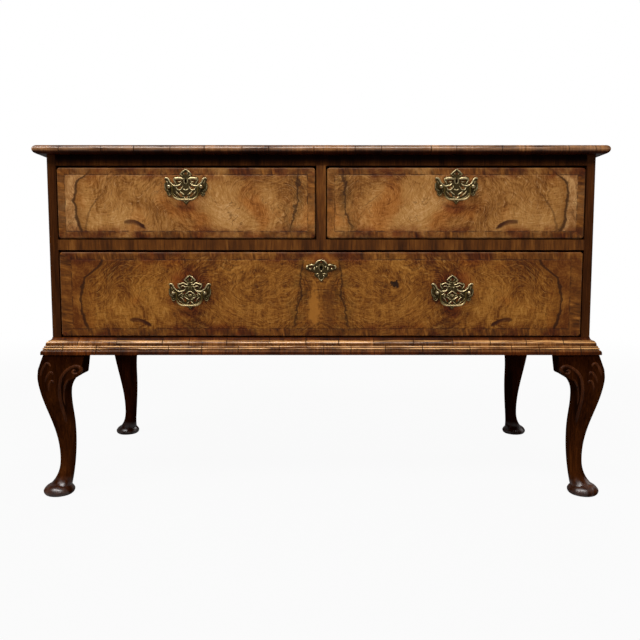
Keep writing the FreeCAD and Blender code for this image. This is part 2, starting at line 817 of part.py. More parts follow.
def pierced_loops(outline, middle, sides, measures):
    # The outline and the middle openings are right halves that start and end on the middle line
    loops = [scaled_loop(half + [(-across, up) for across, up in half[-2:0:-1]], *measures)
             for half in [outline] + middle]
    for points in sides:
        loops.append(scaled_loop(points, *measures))
        loops.append(scaled_loop([(-across, up) for across, up in points], *measures))
    return loops


def build_post(name, x, z):
    shank_back = front_back_y + size.nut_thickness + size.post_tail
    plate_y = face_y - size.plate_thickness
    head_y = face_y - size.bail_standoff
    solid = fuse(f"{name}_body", [
        cylinder(f"{name}_shank", "y", size.post_shank_radius, shank_back - plate_y, x, plate_y, z),
        cylinder(f"{name}_collar", "y", size.post_collar_radius, size.post_collar_height,
                 x, plate_y - size.post_collar_height, z),
        cylinder(f"{name}_neck", "y", size.post_neck_radius, plate_y - head_y, x, head_y, z),
        sphere(f"{name}_head", size.post_head_radius, x, head_y, z),
    ])
    eye = cylinder(f"{name}_eye", "x", size.bail_radius + size.bail_pin_clearance, size.post_head_radius * 2,
                   x - size.post_head_radius, head_y, z)
    return cut(name, solid, [eye])


def build_nut(name, x, z):
    half = size.nut_side / 2
    block = box(f"{name}_block", (x - half, x + half), (front_back_y, front_back_y + size.nut_thickness),
                (z - half, z + half))
    thread = cylinder(f"{name}_thread", "y", size.post_shank_radius + size.nut_clearance, size.nut_thickness,
                      x, front_back_y, z)
    return cut(name, block, [thread])


def post_places(x, z):
    return [(x - size.post_spacing / 2, z), (x + size.post_spacing / 2, z)]


def build_posts(name, places):
    fixings = []
    for i, (x, z) in enumerate(places):
        fixings += [build_post(f"{name}_{i}", x, z), build_nut(f"{name}_nut_{i}", x, z)]
    return piece(name, group(name, fixings))


def build_bail(name, x, z):
    y = face_y - size.bail_standoff
    limb = size.bail_limb_spacing / 2
    pin_end = size.post_spacing / 2 + size.bail_pin_reach
    bend = size.bail_bend_radius
    corner = size.bail_corner_radius
    low = -size.bail_drop
    path = flat_sketch(f"{name}_path", "XZ", x, y, z)
    draw_loops(path, [[
        (-pin_end, ZERO), (-limb - bend, ZERO, bend, -1), (-limb, -bend), (-limb, low + corner, corner, 1),
        (-limb + corner, low), (limb - corner, low, corner, 1), (limb, low + corner),
        (limb, -bend, bend, -1), (limb + bend, ZERO), (pin_end, ZERO),
    ]], closed=False)
    ring = flat_sketch(f"{name}_ring", "YZ", x - pin_end, y, z)
    draw_circle(ring, size.bail_radius)
    path.recompute()
    rod = doc.addObject("Part::Sweep", name)
    rod.Sections = [ring]
    rod.Spine = (path, [f"Edge{i + 1}" for i in range(len(path.Shape.Edges))])
    rod.Solid = True
    return piece(name, rod)


def build_backplate(name, x, z, has_keyhole):
    measures = (size.plate_half_width, size.plate_rise, size.plate_fall)
    middle = PLATE_MIDDLE_OPENINGS + ([] if has_keyhole else [PLATE_DIAMOND])
    loops = pierced_loops(PLATE_OUTLINE, middle, PLATE_SIDE_OPENINGS, measures)
    sheet_body = front_plate(f"{name}_sheet", loops, face_y, size.plate_thickness, x, z)
    plate_y = face_y - size.plate_thickness
    bore_radius = size.post_shank_radius + size.post_bore_clearance
    tools = [cylinder(f"{name}_bore_{i}", "y", bore_radius, size.plate_thickness, post_x, plate_y, post_z)
             for i, (post_x, post_z) in enumerate(post_places(x, z))]
    if has_keyhole:
        tools += keyhole_cut(f"{name}_keyhole", x, short_key_z, plate_y, face_y)
    return piece(name, cut(name, sheet_body, tools))


def build_escutcheon():
    measures = (size.escutcheon_half_width, size.escutcheon_rise, size.escutcheon_fall)
    loops = pierced_loops(ESCUTCHEON_OUTLINE, ESCUTCHEON_MIDDLE_OPENINGS, ESCUTCHEON_SIDE_OPENINGS, measures)
    sheet_body = front_plate("escutcheon_sheet", loops, face_y, size.plate_thickness, ZERO, long_key_z)
    tools = keyhole_cut("escutcheon_keyhole", ZERO, long_key_z, face_y - size.plate_thickness, face_y)
    piece("escutcheon", cut("escutcheon", sheet_body, tools))


def build_short_drawers():
    x = (-inner_x, -divider_x)
    centre = -size.short_handle_offset
    posts = post_places(centre, short_handle_z)
    key = (centre, short_key_z)
    build_drawer("short_drawer_left", x, (short_low, short_high), SHORT_TAIL_COUNT, key, posts)
    build_posts("short_drawer_left_posts", posts)
    build_backplate("short_drawer_left_backplate", centre, short_handle_z, True)
    build_bail("short_drawer_left_bail", centre, short_handle_z)
    for name in [name for name in pieces if name.startswith("short_drawer_left")]:
        mirror_piece(name)


def build_long_drawer():
    x = (-inner_x, inner_x)
    offset = size.long_handle_offset
    posts = post_places(-offset, long_handle_z) + post_places(offset, long_handle_z)
    build_drawer("long_drawer", x, (long_low, long_high), LONG_TAIL_COUNT, (ZERO, long_key_z), posts)
    build_posts("long_drawer_posts", posts)
    build_backplate("long_drawer_backplate_left", -offset, long_handle_z, False)
    build_bail("long_drawer_bail_left", -offset, long_handle_z)
    mirror_piece("long_drawer_backplate_left")
    mirror_piece("long_drawer_bail_left")
    build_escutcheon()


build_case()
build_runners()
build_stops()
build_top()
build_base_moulding()
build_legs()
build_short_drawers()
build_long_drawer()
doc.recompute()

faults = [item.Name for item in doc.Objects if {"Invalid", "Error"} & set(item.State)]
for name, item in pieces.items():
    if item.Shape.isNull() or not item.Shape.isValid() or not item.Shape.Solids:
        faults.append(f"{name} has no valid solid")
if faults:
    raise RuntimeError("these objects failed: " + ", ".join(faults))

os.makedirs("parts", exist_ok=True)
for name, item in pieces.items():
    item.Shape.exportStep(f"parts/{name}.step")
print(f"{len(pieces)} pieces, {sum(len(item.Shape.Solids) for item in pieces.values())} solids")
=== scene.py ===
import math
import bpy
from mathutils import Matrix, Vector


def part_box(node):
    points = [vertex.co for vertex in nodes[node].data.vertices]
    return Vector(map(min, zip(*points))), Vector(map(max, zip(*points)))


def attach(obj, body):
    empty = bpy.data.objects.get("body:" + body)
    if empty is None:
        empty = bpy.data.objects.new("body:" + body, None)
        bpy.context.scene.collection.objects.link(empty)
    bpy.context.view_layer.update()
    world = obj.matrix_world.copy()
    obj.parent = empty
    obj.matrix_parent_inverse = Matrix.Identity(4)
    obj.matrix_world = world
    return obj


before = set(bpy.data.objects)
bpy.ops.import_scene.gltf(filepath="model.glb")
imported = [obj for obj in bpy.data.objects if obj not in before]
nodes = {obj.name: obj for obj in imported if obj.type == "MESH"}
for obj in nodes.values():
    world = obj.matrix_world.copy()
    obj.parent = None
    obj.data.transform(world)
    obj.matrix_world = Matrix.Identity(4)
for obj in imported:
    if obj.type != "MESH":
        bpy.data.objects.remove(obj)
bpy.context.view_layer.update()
scene = bpy.context.scene
scene.view_settings.view_transform = "Standard"
print("frame loaded:", len(nodes), "nodes")


# small helpers for shader trees

def tone(red, green, blue):
    # a colour as seen on screen, 0 to 255, made linear
    parts = [v / 255 for v in (red, green, blue)]
    return tuple(v / 12.92 if v <= 0.04045 else ((v + 0.055) / 1.055) ** 2.4 for v in parts) + (1,)


def feed(tree, socket, value):
    if isinstance(value, bpy.types.NodeSocket):
        tree.links.new(value, socket)
    else:
        socket.default_value = value


def addNode(tree, kind, inputs=None, **settings):
    item = tree.nodes.new(kind)
    for key, value in settings.items():
        setattr(item, key, value)
    for key, value in (inputs or {}).items():
        feed(tree, item.inputs[key], value)
    return item


def calc(tree, operation, *values, clamp=False):
    inputs = dict(enumerate(values))
    return addNode(tree, "ShaderNodeMath", inputs, operation=operation, use_clamp=clamp).outputs[0]


def plus(tree, first, second):
    return calc(tree, "ADD", first, second)


def minus(tree, first, second):
    return calc(tree, "SUBTRACT", first, second)


def times(tree, first, second):
    return calc(tree, "MULTIPLY", first, second)


def apart(tree, first, second):
    return calc(tree, "ABSOLUTE", minus(tree, first, second))


def axesOf(tree, vector):
    return addNode(tree, "ShaderNodeSeparateXYZ", {0: vector}).outputs


def pack(tree, x=0.0, y=0.0, z=0.0):
    return addNode(tree, "ShaderNodeCombineXYZ", {"X": x, "Y": y, "Z": z}).outputs[0]


def vectorCalc(tree, operation, *values):
    inputs = dict(enumerate(values))
    return addNode(tree, "ShaderNodeVectorMath", inputs, operation=operation).outputs[0]


def stretch(tree, vector, factors, shift=(0, 0, 0)):
    return vectorCalc(tree, "MULTIPLY_ADD", vector, factors, shift)


def mixColor(tree, factor, first, second, blend="MIX"):
    inputs = {0: factor, 6: first, 7: second}
    return addNode(tree, "ShaderNodeMix", inputs, data_type="RGBA", blend_type=blend).outputs[2]


def mixValue(tree, factor, first, second):
    return addNode(tree, "ShaderNodeMix", {0: factor, 2: first, 3: second}, data_type="FLOAT").outputs[0]


def cover(tree, color, mask, strength, over, blend="MIX"):
    # another colour laid over the first where the mask is
    return mixColor(tree, times(tree, mask, strength), color, over, blend)


def fade(tree, value, low, high):
    # 0 at low, 1 at high, smooth between; low may be the greater
    inputs = {"Value": value, "From Min": low, "From Max": high}
    return addNode(tree, "ShaderNodeMapRange", inputs, interpolation_type="SMOOTHSTEP").outputs[0]


def ramp(tree, factor, stops):
    item = addNode(tree, "ShaderNodeValToRGB", {"Fac": factor})
    dots = item.color_ramp.elements
    while len(dots) < len(stops):
        dots.new(0.5)
    for dot, (place, color) in zip(dots, stops):
        dot.position = place
        dot.color = color
    return item.outputs["Color"]


def curveThrough(tree, value, points):
    item = addNode(tree, "ShaderNodeFloatCurve", {"Value": value})
    dots = item.mapping.curves[0].points
    for place, height in points[1:-1]:
        dots.new(place, height)
    dots[0].location = points[0]
    dots[-1].location = points[-1]
    item.mapping.update()
    return item.outputs[0]


def noise(tree, vector, scale=1.0, detail=3.0, roughness=0.55, distortion=0.0):
    inputs = {"Vector": vector, "Scale": scale, "Detail": detail, "Roughness": roughness,
              "Distortion": distortion}
    return addNode(tree, "ShaderNodeTexNoise", inputs).outputs["Fac"]


def wander(tree, vector, amount, scale, detail=3.0, roughness=0.55):
    # a value that swings about 0
    return times(tree, minus(tree, noise(tree, vector, scale, detail, roughness), 0.5), amount)


def patches(tree, vector, edge, scale, detail=3.0, roughness=0.55):
    # a mask of soft patches
    return fade(tree, noise(tree, vector, scale, detail, roughness), *edge)


def drift(tree, vector, scale, detail, distortion=0.0):
    # a vector that swings about 0
    inputs = {"Vector": vector, "Scale": scale, "Detail": detail, "Distortion": distortion}
    item = addNode(tree, "ShaderNodeTexNoise", inputs)
    return vectorCalc(tree, "SUBTRACT", item.outputs["Color"], (0.5, 0.5, 0.5))


def centredSum(tree, parts):
    # 0.5 plus each value's share of its swing about 0.5
    total = 0.5
    for value, share in parts:
        total = plus(tree, total, times(tree, minus(tree, value, 0.5), share))
    return total


def ovalReach(tree, across, up, spec):
    # 0 at an oval's middle, 1 on its edge
    midX, midUp, halfX, halfUp = spec
    partX = calc(tree, "DIVIDE", minus(tree, across, midX), halfX)
    partUp = calc(tree, "DIVIDE", minus(tree, up, midUp), halfUp)
    return calc(tree, "SQRT", plus(tree, times(tree, partX, partX), times(tree, partUp, partUp)))


def startGroup(name, inputs, outputs):
    tree = bpy.data.node_groups.new(name, "ShaderNodeTree")
    for direction, rows in (("INPUT", inputs), ("OUTPUT", outputs)):
        for label, kind, *start in rows:
            socket = tree.interface.new_socket(label, in_out=direction, socket_type=f"NodeSocket{kind}")
            if start:
                socket.default_value = start[0]
    ends = tree.nodes.new("NodeGroupInput").outputs, tree.nodes.new("NodeGroupOutput").inputs
    return tree, *ends


def useGroup(tree, group, inputs):
    return addNode(tree, "ShaderNodeGroup", inputs, node_tree=group).outputs


def newMaterial(name, gloss=0.15):
    mat = bpy.data.materials.new(name)
    mat.use_nodes = True
    tree = mat.node_tree
    place = addNode(tree, "ShaderNodeTexCoord").outputs["Object"]
    sockets = tree.nodes["Principled BSDF"].inputs
    sockets["Specular IOR Level"].default_value = gloss
    return mat, tree, sockets, place


def bump(tree, sockets, height, distance):
    item = addNode(tree, "ShaderNodeBump", {"Height": height, "Distance": distance, "Strength": 1.0})
    feed(tree, sockets["Normal"], item.outputs["Normal"])


def dress(names, mat):
    for name in names:
        mesh = nodes[name].data
        mesh.materials.clear()
        mesh.materials.append(mat)


# shared effects: plain grain, cross-grain joints, old polish

grainLook = {
    "bends": 9.0,                   # scale of the slow bends
    "clouds": (38, 38, 5),          # broad bands: twice across the grain, then along it
    "pores": (2.2, 2.2, 1.6),       # how much finer than the fibre
    "poreShift": (7, 3, 5),
    "poreEdge": (0.62, 0.72),
}


def makeGrainGroup():
    # straight wood grain that runs along the group's own Z
    tree, give, take = startGroup(
        "woodGrain",
        [("Vector", "Vector"), ("Across", "Float", 400.0), ("Along", "Float", 14.0),
         ("Warp", "Float", 0.006)],
        [("Fibre", "Float"), ("Cloud", "Float"), ("Pore", "Float")])
    bends = drift(tree, give["Vector"], grainLook["bends"], 2.0)
    moved = stretch(tree, bends, give["Warp"], give["Vector"])
    fine = stretch(tree, moved, pack(tree, give["Across"], give["Across"], give["Along"]))
    feed(tree, take["Fibre"], noise(tree, fine, detail=4.0, roughness=0.65))
    broad = stretch(tree, moved, grainLook["clouds"])
    feed(tree, take["Cloud"], noise(tree, broad, detail=3.0, roughness=0.5))
    pitted = stretch(tree, fine, grainLook["pores"], grainLook["poreShift"])
    feed(tree, take["Pore"], patches(tree, pitted, grainLook["poreEdge"], 1.0, 1.0, 0.4))
    return tree


jointLook = {
    "uneven": 1.1,                  # how much the lengths differ
    "unevenEvery": 0.83,            # and how fast that changes from one to the next
    "gap": (0.0013, 0.0004),        # from a joint's middle: where it has gone, where it is full
}


def makeJointGroup():
    # short cross-grain lengths laid end to end along a run: each has its own tone, and a dark joint between
    tree, give, take = startGroup(
        "crossGrainLengths",
        [("Run", "Float"), ("Length", "Float", 0.09), ("Seed", "Float", 0.0)],
        [("Tone", "Float"), ("Joint", "Float")])
    steps = calc(tree, "DIVIDE", give["Run"], give["Length"])
    sway = noise(tree, pack(tree, times(tree, steps, jointLook["unevenEvery"]), give["Seed"]), detail=0.0)
    uneven = plus(tree, plus(tree, steps, give["Seed"]), times(tree, sway, jointLook["uneven"]))
    cell = calc(tree, "FLOOR", uneven)
    pick = addNode(tree, "ShaderNodeTexWhiteNoise", {"W": cell}, noise_dimensions="1D")
    feed(tree, take["Tone"], pick.outputs["Value"])
    part = minus(tree, uneven, cell)
    nearest = calc(tree, "MINIMUM", part, minus(tree, 1.0, part))
    feed(tree, take["Joint"], fade(tree, times(tree, nearest, give["Length"]), *jointLook["gap"]))
    return tree


polishLook = {
    "clouds": 17.0, "cloudShare": 0.7,
    "smears": (60, 60, 240), "smearShare": 0.3,
    "scratches": 210.0, "scratchRelief": 0.3,
}


def makePolishGroup():
    # worn wax: roughness that wanders, and faint scratches
    tree, give, take = startGroup(
        "oldPolish",
        [("Vector", "Vector"), ("Base", "Float", 0.35), ("Spread", "Float", 0.16)],
        [("Roughness", "Float"), ("Height", "Float")])
    cloud = noise(tree, give["Vector"], polishLook["clouds"], 4.0, 0.6)
    smear = noise(tree, stretch(tree, give["Vector"], polishLook["smears"]), detail=2.0, roughness=0.5)
    cloudy = times(tree, cloud, polishLook["cloudShare"])
    mixed = plus(tree, cloudy, times(tree, smear, polishLook["smearShare"]))
    swing = times(tree, minus(tree, mixed, 0.5), give["Spread"])
    feed(tree, take["Roughness"], plus(tree, give["Base"], swing))
    feed(tree, take["Height"], noise(tree, give["Vector"], polishLook["scratches"]))
    return tree


grainGroup = makeGrainGroup()
jointGroup = makeJointGroup()
polishGroup = makePolishGroup()
print("grain, joints and polish ready")


# figured veneer of the drawer fronts and the top: x is mirrored about the middle of the chest, and heights
# are from the panel's middle

veneer = {
    "flitchHeight": 0.090,          # half the height that the outer vein's curve spans
    "outerVein": [(0.0, 0.40), (0.18, 0.31), (0.34, 0.27), (0.52, 0.245), (0.66, 0.30), (0.78, 0.52),
                  (0.88, 0.62), (1.0, 0.66)],    # up the panel, then inwards from the vein's outermost reach
    "veinReach": 0.545,             # |x| where the curve is 0
    "veinSwing": 0.120,             # and how far inwards 1 is
    "veinJitter": 0.026,
    "veinWidth": 0.0008,            # the least half width
    "veinSwell": 0.0076,            # and what is added where it is broadest
    "veinDusk": 0.026,              # how far inwards the brown beside it goes
    "innerVein": 0.047,             # |x| half way up
    "innerLean": -0.16,             # and how |x| changes upwards
    "innerJitter": 0.040,
    "innerWidth": (0.0040, 0.0004),
    "innerEnds": (0.084, 0.055),    # |height| where it has gone, and where it is full
    "innerSmudge": (0.026, 0.004),
    "knot": (0.388, -0.064, 0.024, 0.013),       # |x|, height, half width, half height
    "knotTilt": 0.26,
    "eye": (0.115, 0.004, 0.080, 0.044),         # the same for the burr's eye
    "eyeRings": 0.070,              # how far the rings go on outwards from the eye
    "ringMerge": 0.030,             # how softly they run into those beside the vein
    "swirl": (9.0, 0.050, 0.4),     # scale, reach and distortion of the slow swirl that bends all the grain
    "wobbles": [(22.0, 0.040), (60.0, 0.010)],   # scale and reach of what the rings swerve by
    "rings": 210.0, "lines": 460.0,              # how fine, across the rings
    "fibres": 380.0, "flecks": 520.0,            # how fine, across the flow
    "flowSwirl": 0.40, "flowRise": 1.5,          # the more of the second, the flatter the fibres lie
    # shares of rings, cloud, fibre, patch, ripple and stipple in the figure's light and dark
    "shares": (0.72, 0.85, 0.85, 0.95, 0.40, 0.60),
    "bodyStops": [(0.10, "dark"), (0.32, "brown"), (0.52, "honey"), (0.72, "gold"), (0.95, "pale")],
    "sapStops": [(0.20, "brown"), (0.55, "sap"), (0.98, "pale")],
    "sapMottle": 1.6, "sapStrength": 0.85,
    "paleLines": 0.45, "darkLines": 0.40, "paleFlecks": 0.52, "amberPatches": 0.62,
    "marks": {"hair": ("dark", 0.50), "smudge": ("smudge", 0.45), "dusk": ("brown", 0.55),
              "filling": ("knotFill", 0.55), "knot": ("knot", 1.00), "outerVein": ("vein", 0.80),
              "innerVein": ("vein", 0.80)},       # tone and strength, each laid over those before it
    "fibreRelief": 0.6, "hairRelief": 0.4,
}
walnutTones = {
    "dark": tone(72, 37, 9), "brown": tone(112, 66, 21), "honey": tone(147, 98, 45),
    "gold": tone(169, 120, 63), "pale": tone(192, 146, 92), "sap": tone(144, 98, 54),
    "amber": tone(242, 200, 138), "vein": tone(46, 24, 7), "knot": tone(58, 27, 9),
    "knotFill": tone(96, 52, 24), "line": tone(50, 26, 9), "smudge": tone(84, 60, 26),
}


def walnutRamp(tree, level, stops):
    return ramp(tree, level, [(place, walnutTones[name]) for place, name in stops])


def shoved(tree, spot, scale, reach, distortion=0.0):
    # a spot moved about across and up by its own noise
    return stretch(tree, drift(tree, spot, scale, 3.0, distortion), (reach, reach, 0), spot)


def alongRings(tree, base, field, pitch, detail, roughness):
    # noise drawn out along the lines where the field is the same
    lifted = vectorCalc(tree, "ADD", base, pack(tree, z=times(tree, field, pitch)))
    return noise(tree, lifted, 1.0, detail, roughness)


def makeBurrGroup():
    tree, give, take = startGroup(
        "burrVeneer",
        [("Across", "Float"), ("Up", "Float"), ("Seed", "Float", 0.0), ("Gain", "Float", 1.0),
         ("Lift", "Float", 0.0)],
        [("Color", "Color"), ("Height", "Float"), ("Sap", "Float")])
    across, up = give["Across"], give["Up"]
    spot = pack(tree, across, up, give["Seed"])
    bent = shoved(tree, spot, *veneer["swirl"])
    bentAxes = axesOf(tree, bent)

    # the dark outer vein: a curve up the panel, with paler sapwood outside it
    share = calc(tree, "ADD", calc(tree, "DIVIDE", up, 2 * veneer["flitchHeight"]), 0.5, clamp=True)
    curve = curveThrough(tree, share, veneer["outerVein"])
    veinX = minus(tree, veneer["veinReach"], times(tree, curve, veneer["veinSwing"]))
    jitter = wander(tree, spot, veneer["veinJitter"], 30.0, 4.0, 0.6)
    inside = plus(tree, minus(tree, veinX, across), jitter)
    sap = fade(tree, inside, 0.002, -0.002)

    # growth rings: beside the vein at the outer end, round the burr's eye at the inner end
    eye = ovalReach(tree, bentAxes["X"], bentAxes["Y"], veneer["eye"])
    fromVein = apart(tree, veinX, bentAxes["X"])
    field = calc(tree, "SMOOTH_MIN", fromVein, times(tree, eye, veneer["eyeRings"]), veneer["ringMerge"])
    for scale, reach in veneer["wobbles"]:
        field = plus(tree, field, wander(tree, spot, reach, scale))
    rings = alongRings(tree, stretch(tree, spot, (12, 12, 1)), field, veneer["rings"], 5.0, 0.62)
    lines = alongRings(tree, stretch(tree, spot, (34, 34, 1), (5, 2, 0)), field, veneer["lines"], 2.0, 0.5)

    # fibres and flecks that follow a slow flow, burr clouds, cross ripple
    swirl = times(tree, noise(tree, bent, 7.0, 1.0, 0.4, 0.5), veneer["flowSwirl"])
    flow = plus(tree, swirl, times(tree, up, veneer["flowRise"]))
    flat = pack(tree, across, up)
    fibre = alongRings(tree, stretch(tree, flat, (45, 45, 0)), flow, veneer["fibres"], 3.0, 0.6)
    fleck = alongRings(tree, stretch(tree, flat, (60, 60, 0)), flow, veneer["flecks"], 1.0, 0.4)
    cloud = noise(tree, bent, 16.0, 5.0, 0.60, 0.8)
    patch = noise(tree, spot, 7.0, 2.0, 0.5)
    ripple = noise(tree, stretch(tree, bent, (210, 30, 1)), 1.0, 2.0, 0.5)
    stipple = noise(tree, stretch(tree, bent, (430, 150, 1)), 1.0, 2.0, 0.6)
    level = centredSum(tree, zip((rings, cloud, fibre, patch, ripple, stipple), veneer["shares"]))
    level = calc(tree, "MULTIPLY_ADD", minus(tree, level, 0.5), give["Gain"], plus(tree, give["Lift"], 0.5))
    body = walnutRamp(tree, level, veneer["bodyStops"])
    body = cover(tree, body, fade(tree, lines, 0.60, 0.74), veneer["paleLines"], walnutTones["pale"])
    body = cover(tree, body, fade(tree, lines, 0.38, 0.28), veneer["darkLines"], walnutTones["dark"])
    body = cover(tree, body, fade(tree, fleck, 0.62, 0.72), veneer["paleFlecks"], walnutTones["pale"])
    amber = patches(tree, shoved(tree, spot, 20.0, 0.03), (0.50, 0.68), 11.0, 3.0, 0.5)
    body = cover(tree, body, amber, veneer["amberPatches"], walnutTones["amber"], "MULTIPLY")
    mottled = plus(tree, level, wander(tree, spot, veneer["sapMottle"], 34.0, 4.0, 0.6))
    sapTone = walnutRamp(tree, mottled, veneer["sapStops"])
    color = cover(tree, body, sap, veneer["sapStrength"], sapTone)

    # hair lines that follow the burr, and the veins
    contour = apart(tree, noise(tree, bent, 11.0, 3.0, 0.55, 0.8), 0.5)
    hair = times(tree, fade(tree, contour, 0.009, 0.002), patches(tree, spot, (0.46, 0.62), 16.0, 1.0))
    width = plus(tree, veneer["veinWidth"], times(tree, noise(tree, spot, 45.0, 2.0), veneer["veinSwell"]))
    outer = fade(tree, calc(tree, "DIVIDE", calc(tree, "ABSOLUTE", inside), width), 1.0, 0.30)
    dusk = times(tree, fade(tree, inside, veneer["veinDusk"], 0.002), fade(tree, inside, -0.004, 0.001))
    innerX = calc(tree, "MULTIPLY_ADD", up, veneer["innerLean"], veneer["innerVein"])
    ragged = wander(tree, spot, veneer["innerJitter"], 30.0, 5.0, 0.6)
    toInner = calc(tree, "ABSOLUTE", plus(tree, minus(tree, across, innerX), ragged))
    midway = fade(tree, calc(tree, "ABSOLUTE", up), *veneer["innerEnds"])
    inner = times(tree, fade(tree, toInner, *veneer["innerWidth"]), midway)
    smudge = times(tree, fade(tree, toInner, *veneer["innerSmudge"]),
                   patches(tree, spot, (0.40, 0.62), 38.0, 4.0, 0.65))

    # the knot: the upper half of an oval, dark along its rim, darkest at its inner end
    knotX, knotUp, knotHalf, knotHigh = veneer["knot"]
    towards = minus(tree, knotX, across)
    dipped = plus(tree, up, times(tree, towards, veneer["knotTilt"]))
    oval = plus(tree, ovalReach(tree, across, dipped, veneer["knot"]), wander(tree, spot, 0.5, 70.0))
    knotRise = calc(tree, "DIVIDE", minus(tree, dipped, knotUp), knotHigh)
    filling = times(tree, fade(tree, oval, 1.05, 0.88), fade(tree, knotRise, 0.10, 0.35))
    rim = times(tree, fade(tree, oval, 1.08, 0.92), fade(tree, oval, 0.22, 0.72))
    rim = times(tree, rim, fade(tree, knotRise, -0.15, 0.25))
    innerEnd = fade(tree, towards, -0.6 * knotHalf, 0.5 * knotHalf)
    knot = times(tree, rim, plus(tree, 0.60, times(tree, innerEnd, 0.40)))
    masks = {"hair": hair, "smudge": smudge, "dusk": dusk, "filling": filling, "knot": knot,
             "outerVein": outer, "innerVein": inner}
    for mark, (name, strength) in veneer["marks"].items():
        color = cover(tree, color, masks[mark], strength, walnutTones[name])
    feed(tree, take["Color"], color)
    feed(tree, take["Sap"], sap)
    rise = plus(tree, rings, times(tree, fibre, veneer["fibreRelief"]))
    sunk = plus(tree, outer, times(tree, hair, veneer["hairRelief"]))
    feed(tree, take["Height"], minus(tree, rise, sunk))
    return tree


burrGroup = makeBurrGroup()

crossband = {
    "length": 0.11,                 # of each piece of the band
    "tones": [(0.14, tone(52, 24, 4)), (0.38, tone(82, 44, 10)), (0.60, tone(104, 58, 15)),
              (0.90, tone(150, 94, 36))],
    "streaks": 170, "slant": 24, "drawn": 30,    # how fine along the band, their slant, how fine across it
    "blotches": (34, 26),           # how fine along the band and across it
    "shares": (2.00, 0.38, 0.12),   # of streaks, blotches and each length's own tone
    "joints": 0.35, "seed": 3.7,
}


def crossbandColor(tree, run, reach, height, seed):
    # short lengths of walnut with the grain across the band: run goes along the band and reach across it
    cells = useGroup(tree, jointGroup, {"Run": run, "Length": crossband["length"], "Seed": seed})
    slanted = plus(tree, times(tree, run, crossband["streaks"]), times(tree, reach, crossband["slant"]))
    laid = pack(tree, slanted, times(tree, reach, crossband["drawn"]), height)
    streak = noise(tree, laid, 1.0, 5.0, 0.62, 0.3)
    alongRun, acrossRun = crossband["blotches"]
    blotch = noise(tree, pack(tree, times(tree, run, alongRun), times(tree, reach, acrossRun), height))
    level = centredSum(tree, zip((streak, blotch, cells["Tone"]), crossband["shares"]))
    color = ramp(tree, level, crossband["tones"])
    return cover(tree, color, cells["Joint"], crossband["joints"], walnutTones["line"]), streak


shortFront = {
    "band": (0.0165, 0.0150),       # width of the crossbanding at the ends and along the top and bottom
    "endMerge": 0.25,               # how much the band at the outer end looks like the panel
    "seed": 0.0,
    "gain": 0.85, "lift": 0.00,     # contrast and lightness of the figure
    "flitch": (0.006, 0.015),       # how far the figure is set outwards and up
    "twig": (0.499, -0.055, 6.4),   # a fine second vein: |x| and height of its foot, its bend
    "post": (0.285, 0.664),         # |x| and height of the handle
    "halo": 0.30,                   # how dark the old stain round it is
}
drawerFronts = {
    "short_drawer_left_front": shortFront,
    "short_drawer_right_front": {**shortFront, "seed": 0.013},
    "long_drawer_front": {
        # its lower lift and the tints below darken the front: partly its yellowed polish, partly painted
        # shade
        "band": (0.0250, 0.0160), "endMerge": 0.60, "seed": 0.41, "gain": 1.00, "lift": -0.11,
        "flitch": (0, 0), "post": (0.280, 0.4415), "halo": 0.75,
        "polishAndShade": tone(238, 224, 176), "sapTint": tone(214, 194, 166),    # its polish has yellowed more, and it is painted darker as shade where the light falls off lower down
        # x, z, half width and height, the edge from gone to full, how torn, strength and tone of:
        # a pale petal, its dark side, an orange patch above the keyhole, an old hole filled with dark wax
        "marks": [
            ((-0.0155, 0.408, 0.0135, 0.052), (1.10, 0.55), 1.3, 0.80, tone(162, 104, 38)),
            ((0.0165, 0.412, 0.017, 0.056), (1.10, 0.40), 1.3, 0.45, tone(92, 52, 16)),
            ((0.0, 0.5150, 0.036, 0.0125), (1.15, 0.45), 1.1, 0.60, tone(152, 90, 32)),
            ((0.1586, 0.4600, 0.0090, 0.0105), (0.95, 0.70), 2.8, 0.95, tone(26, 11, 4)),
        ],
    },
}
frontFinish = {
    "cut": 0.0005, "waver": 0.0022,              # the panel's hand-cut edge: its softness and how it strays
    "mitre": 0.0004,
    "merge": 0.75,                  # how much the band looks like the panel where they run together
    "endSoft": 0.01,                # over which that changes to the outer end's
    "line": (0.0016, 0.0004), "lineCorner": 0.001, "lineStrength": 0.8, "lineDepth": 1.2,
    "twigWidth": (0.0034, 0.0004), "twigTop": (0.034, 0.012), "twigStray": 0.012, "twigStrength": 0.5,
    "stainTone": tone(186, 118, 76),
    "halo": (0.006, 0.050, 0.046),               # above the posts, half width, half height
    "belowBail": (-0.040, 0.026, 0.014), "belowBailStrength": 0.60,
    "margin": 0.020, "marginStrength": 0.85, "marginTone": tone(176, 128, 92),
    "edge": (0.0034, 0.0008), "edgeStrength": 0.32, "edgeTone": tone(142, 104, 74),
    "thickness": (0.0036, 0.0040), "pine": tone(134, 96, 58),
    "rough": 0.42, "roughSpread": 0.22, "pineRough": 0.35,
    "relief": 0.00022,
}


